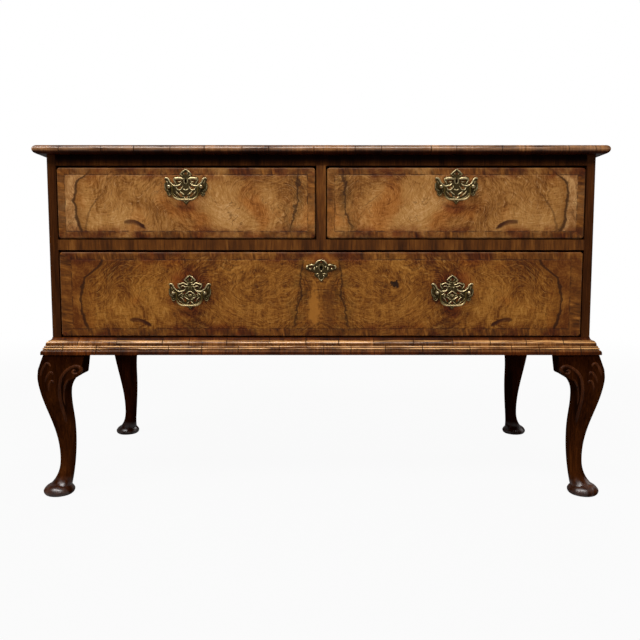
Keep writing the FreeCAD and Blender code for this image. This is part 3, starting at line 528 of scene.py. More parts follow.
def drawerVeneer(name, spec):
    low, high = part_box(name)
    midX, midZ = (low.x + high.x) / 2, (low.z + high.z) / 2
    halfX, halfZ = (high.x - low.x) / 2, (high.z - low.z) / 2
    sideBand, topBand = spec["band"]
    mat, tree, sockets, place = newMaterial(name + "_veneer")
    axes = axesOf(tree, place)
    across = calc(tree, "ABSOLUTE", axes["X"])
    up = minus(tree, axes["Z"], midZ)
    fromSide = minus(tree, halfX, apart(tree, axes["X"], midX))
    fromTop = minus(tree, halfZ, calc(tree, "ABSOLUTE", up))

    outwards, upwards = spec["flitch"]
    panel = useGroup(tree, burrGroup, {"Across": minus(tree, across, outwards),
                                       "Up": minus(tree, up, upwards), "Seed": spec["seed"],
                                       "Gain": spec["gain"], "Lift": spec["lift"]})
    cut, waver = frontFinish["cut"], wander(tree, place, frontFinish["waver"], 70.0)
    inPanel = times(tree, fade(tree, plus(tree, fromSide, waver), sideBand - cut, sideBand + cut),
                    fade(tree, plus(tree, fromTop, waver), topBand - cut, topBand + cut))

    # the crossbanding is mitred at its corners
    mitre = frontFinish["mitre"]
    sideways = fade(tree, minus(tree, times(tree, fromTop, sideBand / topBand), fromSide), -mitre, mitre)
    run = mixValue(tree, sideways, axes["X"], axes["Z"])
    reach = mixValue(tree, sideways, axes["Z"], axes["X"])
    band, streak = crossbandColor(tree, run, reach, axes["Y"], crossband["seed"] + spec["seed"])
    figure = panel["Color"]
    # the long front's darker tints: its own yellowed polish, and painted shade
    if "polishAndShade" in spec:
        figure = mixColor(tree, 1.0, figure, spec["polishAndShade"], "MULTIPLY")
        figure = mixColor(tree, panel["Sap"], figure, spec["sapTint"], "MULTIPLY")
    # it is so close to the panel in tone that they run together here and there
    soft = frontFinish["endSoft"]
    outerEnd = fade(tree, across, abs(midX) - soft, abs(midX) + soft)
    merging = mixValue(tree, times(tree, sideways, outerEnd), frontFinish["merge"], spec["endMerge"])
    alike = times(tree, patches(tree, place, (0.38, 0.62), 19.0, 3.0, 0.6), merging)
    color = mixColor(tree, inPanel, mixColor(tree, alike, band, figure), figure)

    # the thin dark line that frames the panel
    corner = frontFinish["lineCorner"]
    lineSide = times(tree, fade(tree, apart(tree, fromSide, sideBand), *frontFinish["line"]),
                     fade(tree, fromTop, topBand - corner, topBand))
    lineTop = times(tree, fade(tree, apart(tree, fromTop, topBand), *frontFinish["line"]),
                    fade(tree, fromSide, sideBand - corner, sideBand))
    line = calc(tree, "MAXIMUM", lineSide, lineTop)
    broken = times(tree, line, patches(tree, place, (0.40, 0.60), 60.0))
    color = cover(tree, color, broken, frontFinish["lineStrength"], walnutTones["line"])

    for oval, edge, tear, strength, shade in spec.get("marks", []):
        torn = wander(tree, place, tear, 130.0, 3.0, 0.6)
        mark = plus(tree, ovalReach(tree, axes["X"], axes["Z"], oval), torn)
        color = cover(tree, color, fade(tree, mark, *edge), strength, shade)

    if "twig" in spec:
        footX, footUp, bend = spec["twig"]
        above = minus(tree, up, footUp)
        twigX = minus(tree, footX, times(tree, times(tree, above, above), bend))
        stray = wander(tree, place, frontFinish["twigStray"], 55.0)
        toTwig = calc(tree, "ABSOLUTE", plus(tree, minus(tree, across, twigX), stray))
        twig = times(tree, fade(tree, toTwig, *frontFinish["twigWidth"]),
                     fade(tree, up, *frontFinish["twigTop"]))
        twig = times(tree, twig, inPanel)
        color = cover(tree, color, twig, frontFinish["twigStrength"], walnutTones["knot"])

    # old stain round the brass, and a darker patch below each bail
    postX, postZ = spec["post"]
    for stain, strength in (("halo", spec["halo"]), ("belowBail", frontFinish["belowBailStrength"])):
        rise, wide, tall = frontFinish[stain]
        ring = ovalReach(tree, across, axes["Z"], (postX, postZ + rise, wide, tall))
        stained = fade(tree, plus(tree, ring, wander(tree, place, 1.3, 30.0)), 1.25, 0.55)
        color = cover(tree, color, stained, strength, frontFinish["stainTone"], "MULTIPLY")
    # dirt gathered along the panel's margins; edges rubbed pale and lightened further as a painted highlight
    # along their rounding
    margin = times(tree, fade(tree, fromTop, topBand + frontFinish["margin"], topBand),
                   patches(tree, place, (0.42, 0.64), 24.0, 4.0, 0.6))
    color = cover(tree, color, margin, frontFinish["marginStrength"], frontFinish["marginTone"], "MULTIPLY")
    edge = calc(tree, "MINIMUM", fromSide, fromTop)
    wearAndHighlight = times(tree, fade(tree, edge, *frontFinish["edge"]), patches(tree, place, (0.40, 0.62), 65.0))
    color = cover(tree, color, wearAndHighlight, frontFinish["edgeStrength"], frontFinish["edgeTone"])

    # behind the veneer the front is pine
    core = fade(tree, axes["Y"], *[low.y + depth for depth in frontFinish["thickness"]])
    feed(tree, sockets["Base Color"], mixColor(tree, core, color, frontFinish["pine"]))

    polish = useGroup(tree, polishGroup, {"Vector": place, "Base": frontFinish["rough"],
                                          "Spread": frontFinish["roughSpread"]})
    rougher = times(tree, core, frontFinish["pineRough"])
    feed(tree, sockets["Roughness"], plus(tree, polish["Roughness"], rougher))
    surface = mixValue(tree, inPanel, streak, panel["Height"])
    surface = minus(tree, surface, times(tree, line, frontFinish["lineDepth"]))
    scratched = plus(tree, surface, times(tree, polish["Height"], polishLook["scratchRelief"]))
    bump(tree, sockets, scratched, frontFinish["relief"])
    return mat


for name, spec in drawerFronts.items():
    dress([name], drawerVeneer(name, spec))
print("drawer fronts veneered")


# plain woods: walnut of the case, rails and legs, oak linings, pine carcass

plainLook = {
    "fibreShare": 0.55, "cloudShare": 0.55, "poreStrength": 0.45,
    # tones of painted shade: over a height span, towards the back, and in the carved hollows
    "shadeTone": tone(92, 70, 58), "rearShadeTone": tone(196, 180, 170),
    "hollowShadeTone": tone(14, 5, 2), "hollowShadeStrength": 0.8,
    "roughSpread": 0.2, "scratchRelief": 0.4,
    "waxPatches": (0.34, 0.60), "waxScale": 48.0, "waxRough": 0.30, "waxIor": 1.6,
}


def plainWood(name, turn, stops, rough, gloss=0.12, across=400.0, along=14.0, warp=0.006, relief=0.00015,
              swing=1.0, paintedShade=None, bright=None, rearShade=None, hollowShade=None):
    # turn gives which of X, Y and Z the grain runs along; of the height spans, the first is where shade is
    # painted, darkening the wood, and bright is where wax shines; the span front to back is where the rear
    # legs are painted darker as shade; the last makes a mask of the carved hollows, painted dark as shade
    mat, tree, sockets, place = newMaterial(name, gloss)
    axes = axesOf(tree, place)
    order = {"X": ("Y", "Z", "X"), "Y": ("Z", "X", "Y"), "Z": ("X", "Y", "Z")}[turn]
    laid = pack(tree, *[axes[letter] for letter in order])
    grain = useGroup(tree, grainGroup, {"Vector": laid, "Across": across, "Along": along, "Warp": warp})
    level = centredSum(tree, [(grain["Fibre"], plainLook["fibreShare"] * swing),
                              (grain["Cloud"], plainLook["cloudShare"] * swing)])
    color = ramp(tree, level, stops)
    color = cover(tree, color, grain["Pore"], plainLook["poreStrength"], stops[0][1])
    # painted shade: the wood is darker over a height span
    if paintedShade:
        color = mixColor(tree, fade(tree, axes["Z"], *paintedShade), color, plainLook["shadeTone"], "MULTIPLY")
    # painted shade: darker towards the back, where the rear legs stand
    if rearShade:
        color = mixColor(tree, fade(tree, axes["Y"], *rearShade), color, plainLook["rearShadeTone"], "MULTIPLY")
    # painted shade in the carved hollows
    if hollowShade:
        color = cover(tree, color, hollowShade(tree, axes), plainLook["hollowShadeStrength"], plainLook["hollowShadeTone"])
    feed(tree, sockets["Base Color"], color)
    polish = useGroup(tree, polishGroup, {"Vector": place, "Base": rough, "Spread": plainLook["roughSpread"]})
    feed(tree, sockets["Roughness"], polish["Roughness"])
    if bright:
        patchy = patches(tree, place, plainLook["waxPatches"], plainLook["waxScale"], 2.0, 0.5)
        feed(tree, sockets["Coat Weight"], times(tree, fade(tree, axes["Z"], *bright), patchy))
        sockets["Coat Roughness"].default_value = plainLook["waxRough"]
        sockets["Coat IOR"].default_value = plainLook["waxIor"]
    scratched = plus(tree, grain["Fibre"], times(tree, polish["Height"], plainLook["scratchRelief"]))
    bump(tree, sockets, scratched, relief)
    return mat


# where the hollows beside the carved knee scroll are painted dark as shade
kneeHollow = {
    "corner": (0.578, 0.2625),      # |x| and |y| of the case's corner
    "span": (0.150, 0.275),         # heights that the curve below spans
    "reach": 0.040,                 # and how far inwards 1 is
    # the scroll's ridge: up the knee, then inwards from the corner
    "scroll": [(0.0, 0.64), (0.16, 0.625), (0.31, 0.575), (0.45, 0.52), (0.59, 0.4975), (0.71, 0.52),
               (0.81, 0.58), (0.91, 0.675), (1.0, 0.83)],
    "near": (0.0015, 0.0035), "far": (0.013, 0.0045),        # where the groove beside it begins and ends
    "foot": 0.05, "head": 0.004,    # over which it fades at its lower and upper end
    "curl": (0.0565, 0.2775, 0.0070, 0.0045),    # inwards, height, half width, half height
}


def kneeHollowShade(tree, axes):
    # painted shade: the hollow along the inner side of the carved scroll and inside its curl is painted dark,
    # on the two front legs
    cornerX, cornerY = kneeHollow["corner"]
    alongFront = minus(tree, cornerX, calc(tree, "ABSOLUTE", axes["X"]))
    alongSide = minus(tree, cornerY, calc(tree, "ABSOLUTE", axes["Y"]))
    inwards = calc(tree, "MAXIMUM", alongFront, alongSide)
    low, high = kneeHollow["span"]
    share = calc(tree, "DIVIDE", minus(tree, axes["Z"], low), high - low, clamp=True)
    ridge = times(tree, curveThrough(tree, share, kneeHollow["scroll"]), kneeHollow["reach"])
    past = minus(tree, inwards, ridge)
    groove = times(tree, fade(tree, past, *kneeHollow["near"]), fade(tree, past, *kneeHollow["far"]))
    ends = times(tree, fade(tree, axes["Z"], low, low + kneeHollow["foot"]),
                 fade(tree, axes["Z"], high + kneeHollow["head"], high))
    curl = fade(tree, ovalReach(tree, inwards, axes["Z"], kneeHollow["curl"]), 1.2, 0.6)
    dark = calc(tree, "MAXIMUM", times(tree, groove, ends), curl)
    return times(tree, dark, fade(tree, axes["Y"], 0.0, -0.02))    # not on the rear legs


woodTones = {
    "case": [(0.30, tone(34, 15, 4)), (0.46, tone(58, 28, 8)), (0.58, tone(74, 38, 12)),
             (0.80, tone(98, 56, 22))],
    "rail": [(0.22, tone(36, 15, 3)), (0.42, tone(70, 36, 9)), (0.56, tone(96, 53, 15)),
             (0.80, tone(142, 90, 38))],
    "leg": [(0.26, tone(28, 10, 3)), (0.44, tone(47, 20, 5)), (0.60, tone(63, 29, 8)),
            (0.82, tone(92, 49, 17))],
    "carved": [(0.28, tone(34, 13, 4)), (0.46, tone(54, 24, 8)), (0.60, tone(70, 34, 13)),
               (0.82, tone(94, 52, 24))],
    "oak": [(0.28, tone(92, 64, 38)), (0.48, tone(128, 96, 62)), (0.64, tone(150, 116, 78)),
            (0.84, tone(170, 136, 96))],
    "pine": [(0.28, tone(86, 58, 32)), (0.48, tone(118, 84, 50)), (0.64, tone(140, 104, 64)),
             (0.84, tone(158, 122, 80))],
}
legGrain = {"turn": "Z", "rough": 0.30, "across": 260.0, "along": 9.0, "relief": 0.0001, "swing": 1.3}
railGrain = {"turn": "Z", "across": 300.0, "along": 20.0, "swing": 1.25}
oakGrain = {"stops": woodTones["oak"], "rough": 0.68, "across": 320.0, "along": 9.0, "relief": 0.0003}
woods = {
    "case_walnut": {"turn": "Z", "stops": woodTones["case"], "rough": 0.36, "gloss": 0.04},
    # painted shade: the legs darker towards the top under the base moulding, and towards the back on the rear
    # legs
    "leg_walnut": {**legGrain, "stops": woodTones["leg"], "gloss": 0.0, "bright": (0.042, 0.024),
                   "rearShade": (-0.05, 0.15), "paintedShade": (0.17, 0.36), "hollowShade": kneeHollowShade},
    "carved_walnut": {**legGrain, "stops": woodTones["carved"], "gloss": 0.06},
    "rail_walnut": {**railGrain, "stops": woodTones["rail"], "rough": 0.34},
    # the top rail is painted darker towards its upper edge, as shade under the top's overhang
    "top_rail_walnut": {**railGrain, "stops": woodTones["case"], "rough": 0.50, "gloss": 0.03,
                        "paintedShade": (0.712, 0.724)},
    "carcass_pine": {"turn": "X", "stops": woodTones["pine"], "rough": 0.72, "across": 240.0, "along": 7.0,
                     "relief": 0.0004},
    "oak_sides": {**oakGrain, "turn": "Y"},
    "oak_backs": {**oakGrain, "turn": "X"},
}
wood = {name: plainWood(name, **spec) for name, spec in woods.items()}
drawers = ["short_drawer_left", "short_drawer_right", "long_drawer"]

dress(["left_side", "right_side"], wood["case_walnut"])
dress(["middle_rail", "bottom_rail", "drawer_divider"], wood["rail_walnut"])
dress(["top_rail"], wood["top_rail_walnut"])
dress(["leg_front_left", "leg_front_right", "leg_rear_left", "leg_rear_right", "knee_blocks_front",
       "knee_blocks_side"], wood["leg_walnut"])
dress(["back_boards", "bottom_board", "rear_rail", "upper_runners", "lower_runners", "centre_runner",
       "centre_guide", "drawer_stops"], wood["carcass_pine"])
for drawer in drawers:
    dress([f"{drawer}_left_side", f"{drawer}_right_side", f"{drawer}_bottom"], wood["oak_sides"])
    dress([f"{drawer}_back"], wood["oak_backs"])
print("case, legs, carcass and linings dressed")


# mouldings worked from short cross-grain lengths: split is the height where one row of lengths lies on
# another; the other height spans are of rubbed edges with a painted highlight, of wax, and of painted shade

topWear = {
    "length": 0.075, "split": 0.0, "gloss": 0.04,
    "tones": [(0.12, tone(40, 20, 7)), (0.38, tone(74, 42, 17)), (0.60, tone(106, 65, 30)),
              (0.88, tone(162, 110, 60))],
    "wearAndHighlight": [(0.7370, 0.7480)], "rubbing": 0.26, "wearHighlightTone": tone(206, 152, 100),
    "shine": [(0.7345, 0.7480)], "wax": 1.0, "shineRough": 0.30,
    # the span below is painted shade on the underside of the nose
    "paintedShade": [(0.7386, 0.7340)], "shadowTone": tone(126, 88, 57),
}
baseWear = {
    "length": 0.080, "split": 0.3285, "gloss": 0.06,
    "tones": [(0.12, tone(44, 20, 6)), (0.38, tone(76, 41, 14)), (0.60, tone(106, 61, 23)),
              (0.88, tone(158, 102, 50))],
    # the spans below are the bead tops, rubbed paler and lightened further as a painted highlight
    "wearAndHighlight": [(0.3330, 0.3395), (0.3250, 0.3282), (0.3210, 0.3242)], "rubbing": 0.80,
    "wearHighlightTone": tone(234, 174, 106),
    "shine": [(0.3310, 0.3405), (0.3246, 0.3285), (0.3206, 0.3245), (0.3170, 0.3204)],
    "wax": 0.65, "shineRough": 0.25,
    # the spans below are painted shade on the lower torus and on the fillet under the drawer
    "paintedShade": [(0.3172, 0.3150), (0.3392, 0.3405)], "shadowTone": tone(186, 150, 108),
}
mouldingLook = {
    "rowShift": 0.35,               # how far the joints of the upper row are set along
    "streaks": (300, 22),           # how fine along the run and across it
    "rubs": (14, 160),
    "shares": (0.80, 1.20, 0.22),   # of streaks, clouds and each length's own tone
    "jointTone": tone(34, 17, 7), "jointStrength": 0.85,
    "rough": 0.40, "roughSpread": 0.2, "waxPatchy": 0.6, "waxIor": 1.6,
    "relief": 0.0003, "streakRelief": 0.5, "jointRelief": 1.5,
}


def spanMask(tree, height, spans):
    # 1 in the middle of each height span, 0 outside them
    mask = 0.0
    for low, high in spans:
        half = (high - low) / 2
        mask = calc(tree, "MAXIMUM", mask, fade(tree, apart(tree, height, low + half), half, 0.4 * half))
    return mask


def crossMoulding(name, run, seed, wear):
    mat, tree, sockets, place = newMaterial(name, wear["gloss"])
    axes = axesOf(tree, place)
    split = wear["split"]
    row = times(tree, fade(tree, axes["Z"], split - 0.0001, split + 0.0001), mouldingLook["rowShift"])
    cells = useGroup(tree, jointGroup, {"Run": axes[run], "Length": wear["length"],
                                        "Seed": plus(tree, row, seed)})
    reach = plus(tree, axes[{"X": "Y", "Y": "X"}[run]], axes["Z"])

    def drawn(alongRun, acrossRun):
        return pack(tree, times(tree, axes[run], alongRun), times(tree, reach, acrossRun), seed)

    streak = noise(tree, drawn(*mouldingLook["streaks"]), detail=4.0, roughness=0.6)
    cloud = noise(tree, place, 26.0, 4.0, 0.6)
    level = centredSum(tree, zip((streak, cloud, cells["Tone"]), mouldingLook["shares"]))
    color = ramp(tree, level, wear["tones"])
    patchy = patches(tree, drawn(*mouldingLook["rubs"]), (0.36, 0.60), 1.0)
    # rubbed paler at the bead tops and the nose, lightened further as a painted highlight where the light
    # catches them
    rubbed = times(tree, spanMask(tree, axes["Z"], wear["wearAndHighlight"]), patchy)
    color = cover(tree, color, rubbed, wear["rubbing"], wear["wearHighlightTone"])
    # painted shade: darker under the top's nose, and on the base moulding's lower torus and the fillet under
    # the drawer
    shadeMask = 0.0
    for span in wear["paintedShade"]:
        shadeMask = calc(tree, "MAXIMUM", shadeMask, fade(tree, axes["Z"], *span))
    color = mixColor(tree, shadeMask, color, wear["shadowTone"], "MULTIPLY")
    color = cover(tree, color, cells["Joint"], mouldingLook["jointStrength"], mouldingLook["jointTone"])
    feed(tree, sockets["Base Color"], color)
    polish = useGroup(tree, polishGroup, {"Vector": place, "Base": mouldingLook["rough"],
                                          "Spread": mouldingLook["roughSpread"]})
    feed(tree, sockets["Roughness"], polish["Roughness"])
    # wax shines where hands and cloths reach it
    share = mouldingLook["waxPatchy"]
    thick = calc(tree, "MULTIPLY_ADD", patchy, share * wear["wax"], (1 - share) * wear["wax"])
    waxed = times(tree, spanMask(tree, axes["Z"], wear["shine"]), thick)
    feed(tree, sockets["Coat Weight"], times(tree, waxed, minus(tree, 1.0, cells["Joint"])))
    sockets["Coat Roughness"].default_value = wear["shineRough"]
    sockets["Coat IOR"].default_value = mouldingLook["waxIor"]
    height = minus(tree, times(tree, streak, mouldingLook["streakRelief"]),
                   times(tree, cells["Joint"], mouldingLook["jointRelief"]))
    scratched = plus(tree, height, times(tree, polish["Height"], polishLook["scratchRelief"]))
    bump(tree, sockets, scratched, mouldingLook["relief"])
    return mat


dress(["top_edge_front"], crossMoulding("top_edge_front_walnut", "X", 2.3, topWear))
dress(["top_edge_left", "top_edge_right"], crossMoulding("top_edge_side_walnut", "Y", 5.1, topWear))
dress(["base_moulding_front"], crossMoulding("base_front_walnut", "X", 8.6, baseWear))
dress(["base_moulding_left", "base_moulding_right"], crossMoulding("base_side_walnut", "Y", 9.9, baseWear))

topLook = {
    "figureIn": 0.11,               # from the top's middle line to the middle of each half's figure
    "seed": 0.77,
    "thickness": (0.0014, 0.0022), "board": tone(104, 72, 42),
    "rough": 0.32, "roughSpread": 0.2, "relief": 0.0002,
}


def topVeneer(name):
    low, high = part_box(name)
    mat, tree, sockets, place = newMaterial("top_veneer")
    axes = axesOf(tree, place)
    deep = apart(tree, axes["Y"], (low.y + high.y) / 2)
    panel = useGroup(tree, burrGroup, {"Across": calc(tree, "ABSOLUTE", axes["X"]),
                                       "Up": minus(tree, deep, topLook["figureIn"]), "Seed": topLook["seed"]})
    board = fade(tree, axes["Z"], *[high.z - depth for depth in topLook["thickness"]])    # under the veneer
    feed(tree, sockets["Base Color"], mixColor(tree, board, panel["Color"], topLook["board"]))
    polish = useGroup(tree, polishGroup, {"Vector": place, "Base": topLook["rough"],
                                          "Spread": topLook["roughSpread"]})
    feed(tree, sockets["Roughness"], polish["Roughness"])
    scratched = plus(tree, panel["Height"], times(tree, polish["Height"], polishLook["scratchRelief"]))
    bump(tree, sockets, scratched, topLook["relief"])
    return mat


dress(["top_board"], topVeneer("top_board"))
print("mouldings and top dressed")


# locks and brass

iron = {
    "bare": tone(66, 62, 58), "rust": tone(92, 56, 34),
    "rough": 0.45, "rustRough": 0.35, "rustDull": 0.8, "relief": 0.0003,
}


def oldIron():
    mat, tree, sockets, place = newMaterial("lock_iron")
    rust = patches(tree, place, (0.45, 0.65), 120.0, 4.0, 0.65)
    feed(tree, sockets["Base Color"], mixColor(tree, rust, iron["bare"], iron["rust"]))
    feed(tree, sockets["Metallic"], minus(tree, 1.0, times(tree, rust, iron["rustDull"])))
    feed(tree, sockets["Roughness"], plus(tree, iron["rough"], times(tree, rust, iron["rustRough"])))
    bump(tree, sockets, noise(tree, place, 400.0), iron["relief"])
    return mat


dress([f"{drawer}_{piece}" for drawer in drawers for piece in ("lock_case", "lock_bolt")], oldIron())

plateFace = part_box("escutcheon")[0].y
# recess and ridge are the depths (Y) between which a cast face goes from grimy to rubbed bright, tones are
# those in the recess, between and on the ridge
brasses = {
    "brass_ground": {"recess": plateFace + 0.0020, "ridge": plateFace - 0.0012, "rough": 0.42, "metal": 0.8,
                     "tones": [tone(18, 13, 3), tone(36, 27, 8), tone(80, 64, 29)]},
    "brass_cast": {"recess": plateFace + 0.0003, "ridge": plateFace - 0.0011, "rough": 0.36, "metal": 1.0,
                   "tones": [tone(40, 31, 9), tone(104, 86, 44), tone(200, 180, 134)]},
    "brass_post": {"recess": -0.264, "ridge": -0.2790, "rough": 0.26, "metal": 1.0,
                   "tones": [tone(30, 22, 6), tone(84, 68, 36), tone(176, 160, 122)]},
}
brassLook = {
    "gloss": 0.5, "stray": 0.0012, "dull": 0.3, "relief": 0.00018,
    "tonePlaces": (0.0, 0.45, 1.0),
    "verdigris": tone(70, 62, 26), "verdigrisStrength": 0.35,
}


def agedBrass(name, recess, ridge, rough, metal, tones):
    mat, tree, sockets, place = newMaterial(name, brassLook["gloss"])
    cloud = noise(tree, place, 150.0, 4.0, 0.6)
    stray = times(tree, minus(tree, cloud, 0.5), brassLook["stray"])
    rubbed = fade(tree, plus(tree, axesOf(tree, place)["Y"], stray), recess, ridge)
    color = ramp(tree, rubbed, list(zip(brassLook["tonePlaces"], tones)))
    green = fade(tree, cloud, 0.55, 0.72)
    color = cover(tree, color, green, brassLook["verdigrisStrength"], brassLook["verdigris"])
    feed(tree, sockets["Base Color"], color)
    sockets["Metallic"].default_value = metal
    dull = times(tree, minus(tree, 1.0, rubbed), brassLook["dull"])
    feed(tree, sockets["Roughness"], plus(tree, rough, dull))
    bump(tree, sockets, noise(tree, place, 520.0, 3.0, 0.6), brassLook["relief"])
    return mat


brass = {name: agedBrass(name, **spec) for name, spec in brasses.items()}
plateEnds = ("backplate", "backplate_left", "backplate_right")
dress([n for n in nodes if n.endswith(plateEnds) or n == "escutcheon"], brass["brass_ground"])
dress([n for n in nodes if n.endswith("posts")], brass["brass_post"])

bailLook = {
    "tones": [(0.0, tone(92, 76, 40)), (0.5, tone(128, 109, 66)), (1.0, tone(176, 156, 112))],
    "bright": (-0.012, -0.026),     # from the pivot down: where the rubbing and painted highlight begin, where they are full
    "stray": 0.008, "rough": 0.52, "smoother": 0.12, "relief": 0.00012,
}


def bailBrass(name, pivot):
    # rubbed bright along the lower bar, where fingers pull, which also paints a highlight along it, and dull
    # up the limbs
    mat, tree, sockets, place = newMaterial(name, brassLook["gloss"])
    drop = plus(tree, axesOf(tree, place)["Z"], wander(tree, place, bailLook["stray"], 170.0, 4.0, 0.6))
    rubbed = fade(tree, drop, *[pivot + rise for rise in bailLook["bright"]])
    feed(tree, sockets["Base Color"], ramp(tree, rubbed, bailLook["tones"]))
    sockets["Metallic"].default_value = 1.0
    smoother = times(tree, rubbed, bailLook["smoother"])
    feed(tree, sockets["Roughness"], minus(tree, bailLook["rough"], smoother))
    bump(tree, sockets, noise(tree, place, 620.0, 3.0, 0.6), bailLook["relief"])
    return mat


shortPivot, longPivot = shortFront["post"][1], drawerFronts["long_drawer_front"]["post"][1]
dress(["short_drawer_left_bail", "short_drawer_right_bail"], bailBrass("brass_bail_short", shortPivot))
dress(["long_drawer_bail_left", "long_drawer_bail_right"], bailBrass("brass_bail_long", longPivot))
print("locks and brass dressed")


# cast tracery on the backplates and the escutcheon: strokes of the right half, each its half thickness and
# then points sideways and up from the middle of the posts or of the keyhole, in millimetres

backplateTracery = {
    "both": [
        (1.5, [(0, 36.8), (6.5, 31.8), (12.2, 26.2)]),
        (0.8, [(12.2, 26.0), (9, 24.2), (5.6, 22.8)]),
        (1.7, [(44.3, 16.4), (42.4, 18.6), (39, 18.2), (35.6, 15.0), (33.2, 9.8), (28.3, 4.9), (23.9, 2.4),
               (18, 2.8), (13, 4.2), (10.2, 7.6)]),
        (0.8, [(43.6, 9.0), (44.2, 3.5), (43.2, -3.5), (39.6, -9.5)]),
        (0.7, [(39.6, -9.5), (39.0, -14.6), (35.3, -17.2), (31.8, -14.8), (30.0, -10.6)]),
        (0.7, [(29.2, -9.4), (24.6, -15.5), (17.2, -22.2), (9, -26.0), (3.4, -29.8), (0, -34.2)]),
        (1.1, [(25.2, 18.2), (25.2, 14.4), (22.9, 10.4), (20.6, 8.0)]),
        (0.9, [(40.6, 13.2), (38.6, 9.6), (38.2, 5.6)]),
        (0.9, [(2.6, 29.4), (4.2, 27.2), (2.4, 25.2)]),
        (0.9, [(40.4, -3.6), (38.2, -7.0), (34.4, -8.4)]),
        (0.8, [(36.6, -10.2), (35.4, -13.0), (33.2, -12.4)]),
        (1.0, [(28.4, 1.2), (30.4, -3.4), (29.6, -7.6)]),
    ],
    "long": [
        (1.5, [(3.3, 17.6), (7.4, 17.2), (11, 19), (14.5, 20.4), (18, 19.2), (21, 18.0), (25.2, 18.2)]),
        (1.3, [(10.7, -4), (6, -1), (2.5, 1.8), (0, 3.4)]),
        (1.4, [(12, -9), (7, -12.2), (1.4, -16.0)]),
        (1.2, [(1.2, -17.8), (4.5, -21.6), (8.2, -24.6)]),
        (1.3, [(0.3, -3.8), (2.4, -6.0), (0.3, -8.2)]),
        (1.2, [(3.0, 8.8), (3.2, 7.2)]),
        (1.1, [(5.5, 14.2), (9.5, 11.8), (12.5, 13.4), (16.5, 14.0), (19.5, 11.6)]),
        (1.1, [(15.4, -0.4), (20.2, -3.2), (25.4, -7.0)]),
        (1.1, [(20.5, -9.8), (17.2, -11.8), (14.6, -15), (12.6, -19.5)]),
        (1.0, [(14.5, -9.5), (17.2, -6.5), (13.6, -3.4)]),
        (0.9, [(0, 22.6), (3.6, 20.8), (6.6, 22.4)]),
        (0.8, [(4.8, -9.2), (7.8, -6.6), (11.4, -6.0)]),
        (0.8, [(0, 12.6), (3.0, 11.6), (5.5, 14.2)]),
    ],
    "short": [
        (3.1, [(5.6, 16.4), (11, 18.0), (17, 18.2), (22, 17.2), (25.0, 16.2)]),
        (1.1, [(3.0, 19.6), (3.5, 14.0), (2.9, 8.4), (0, 6.0)]),
        (1.5, [(12.5, -9.8), (8.5, -12.8), (3.4, -16.2)]),
        (1.8, [(5.4, -4.6), (2.6, -5.6), (0, -7.4)]),
        (1.2, [(6.0, 2.6), (9.0, -3.0), (13, -6.2), (18, -4.8), (20.6, -0.4)]),
        (1.1, [(21.5, -8), (17.5, -13), (12, -18.4)]),
        (1.3, [(4.4, -19.0), (2.6, -22.8), (0, -24.4)]),
        (1.7, [(6.2, -20.2), (7.2, -21.2)]),
        (1.0, [(9.6, 12.6), (12.6, 10.4), (16.4, 11.8)]),
        (0.9, [(21.4, 13.2), (22.0, 8.4), (19.4, 5.6)]),
    ],
    "plates": {
        "long_drawer_tracery_left": ("long", "long_drawer_backplate_left", "long_drawer"),
        "long_drawer_tracery_right": ("long", "long_drawer_backplate_right", "long_drawer"),
        "short_drawer_left_tracery": ("short", "short_drawer_left_backplate", "short_drawer_left"),
        "short_drawer_right_tracery": ("short", "short_drawer_right_backplate", "short_drawer_right"),
    },
    "rise": 38,        # from the posts up to the plate's top
}
escutcheonTracery = {
    "strokes": [
        (1.6, [(0, 15.8), (6, 14.0), (10.6, 9.8), (12.0, 7.0)]),
        (3.1, [(8.2, 1.4), (9.8, 1.4)]),
        (2.0, [(13.6, 0.4), (14.6, -2.6), (13.4, -5.4)]),
        (2.0, [(15.0, 5.0), (19.3, 5.6), (24.5, 4.6)]),
        (1.8, [(27.3, 4.6), (30.8, 1.6), (29.8, -2.6)]),
        (2.6, [(25.2, -2.6), (23.2, -3.2), (21.2, -2.2)]),
        (0.7, [(0, 7.0), (3.6, 5.2), (4.6, 0.5), (3.8, -4.6), (2.2, -6.4)]),
        (2.5, [(1.4, -7.6), (0, -8.2)]),
        (3.2, [(6.6, -17.2), (5.0, -18.6)]),
        (1.2, [(3.6, -14.4), (8, -13.2), (11.4, -15.2)]),
        (1.0, [(6.0, -20.6), (3.2, -25.4), (1.4, -27.2)]),
        (2.2, [(1.2, -27.0), (0, -27.6)]),
    ],
    "rise": 17,        # from the keyhole up to the top
}
traceryEnds = 0.6       # thickness at the ends of a stroke, as a share


def selectOnly(pieces):
    bpy.ops.object.select_all(action="DESELECT")
    for piece in pieces:
        piece.select_set(True)
    bpy.context.view_layer.objects.active = pieces[0]


def rodThrough(points, radius, endShare):
    # a round rod through given points, thinner at its ends
    bpy.ops.object.select_all(action="DESELECT")
    bpy.ops.curve.primitive_bezier_curve_add(location=(0, 0, 0))
    rod = bpy.context.object
    dots = rod.data.splines[0].bezier_points
    dots.add(len(points) - 2)
    for dot, point in zip(dots, points):
        dot.co = point
    for index, dot in enumerate(dots):
        dot.handle_left_type = dot.handle_right_type = "AUTO"
        dot.radius = endShare if index in (0, len(points) - 1) else 1.0
    rod.data.dimensions = "3D"
    rod.data.bevel_depth = radius
    rod.data.bevel_resolution = 2
    rod.data.resolution_u = 5
    rod.data.use_fill_caps = True
    bpy.ops.object.convert(target="MESH")
    return bpy.context.object


def joinPieces(pieces, name):
    selectOnly(pieces)
    bpy.ops.object.join()
    whole = bpy.context.object
    whole.name = whole.data.name = name
    return whole


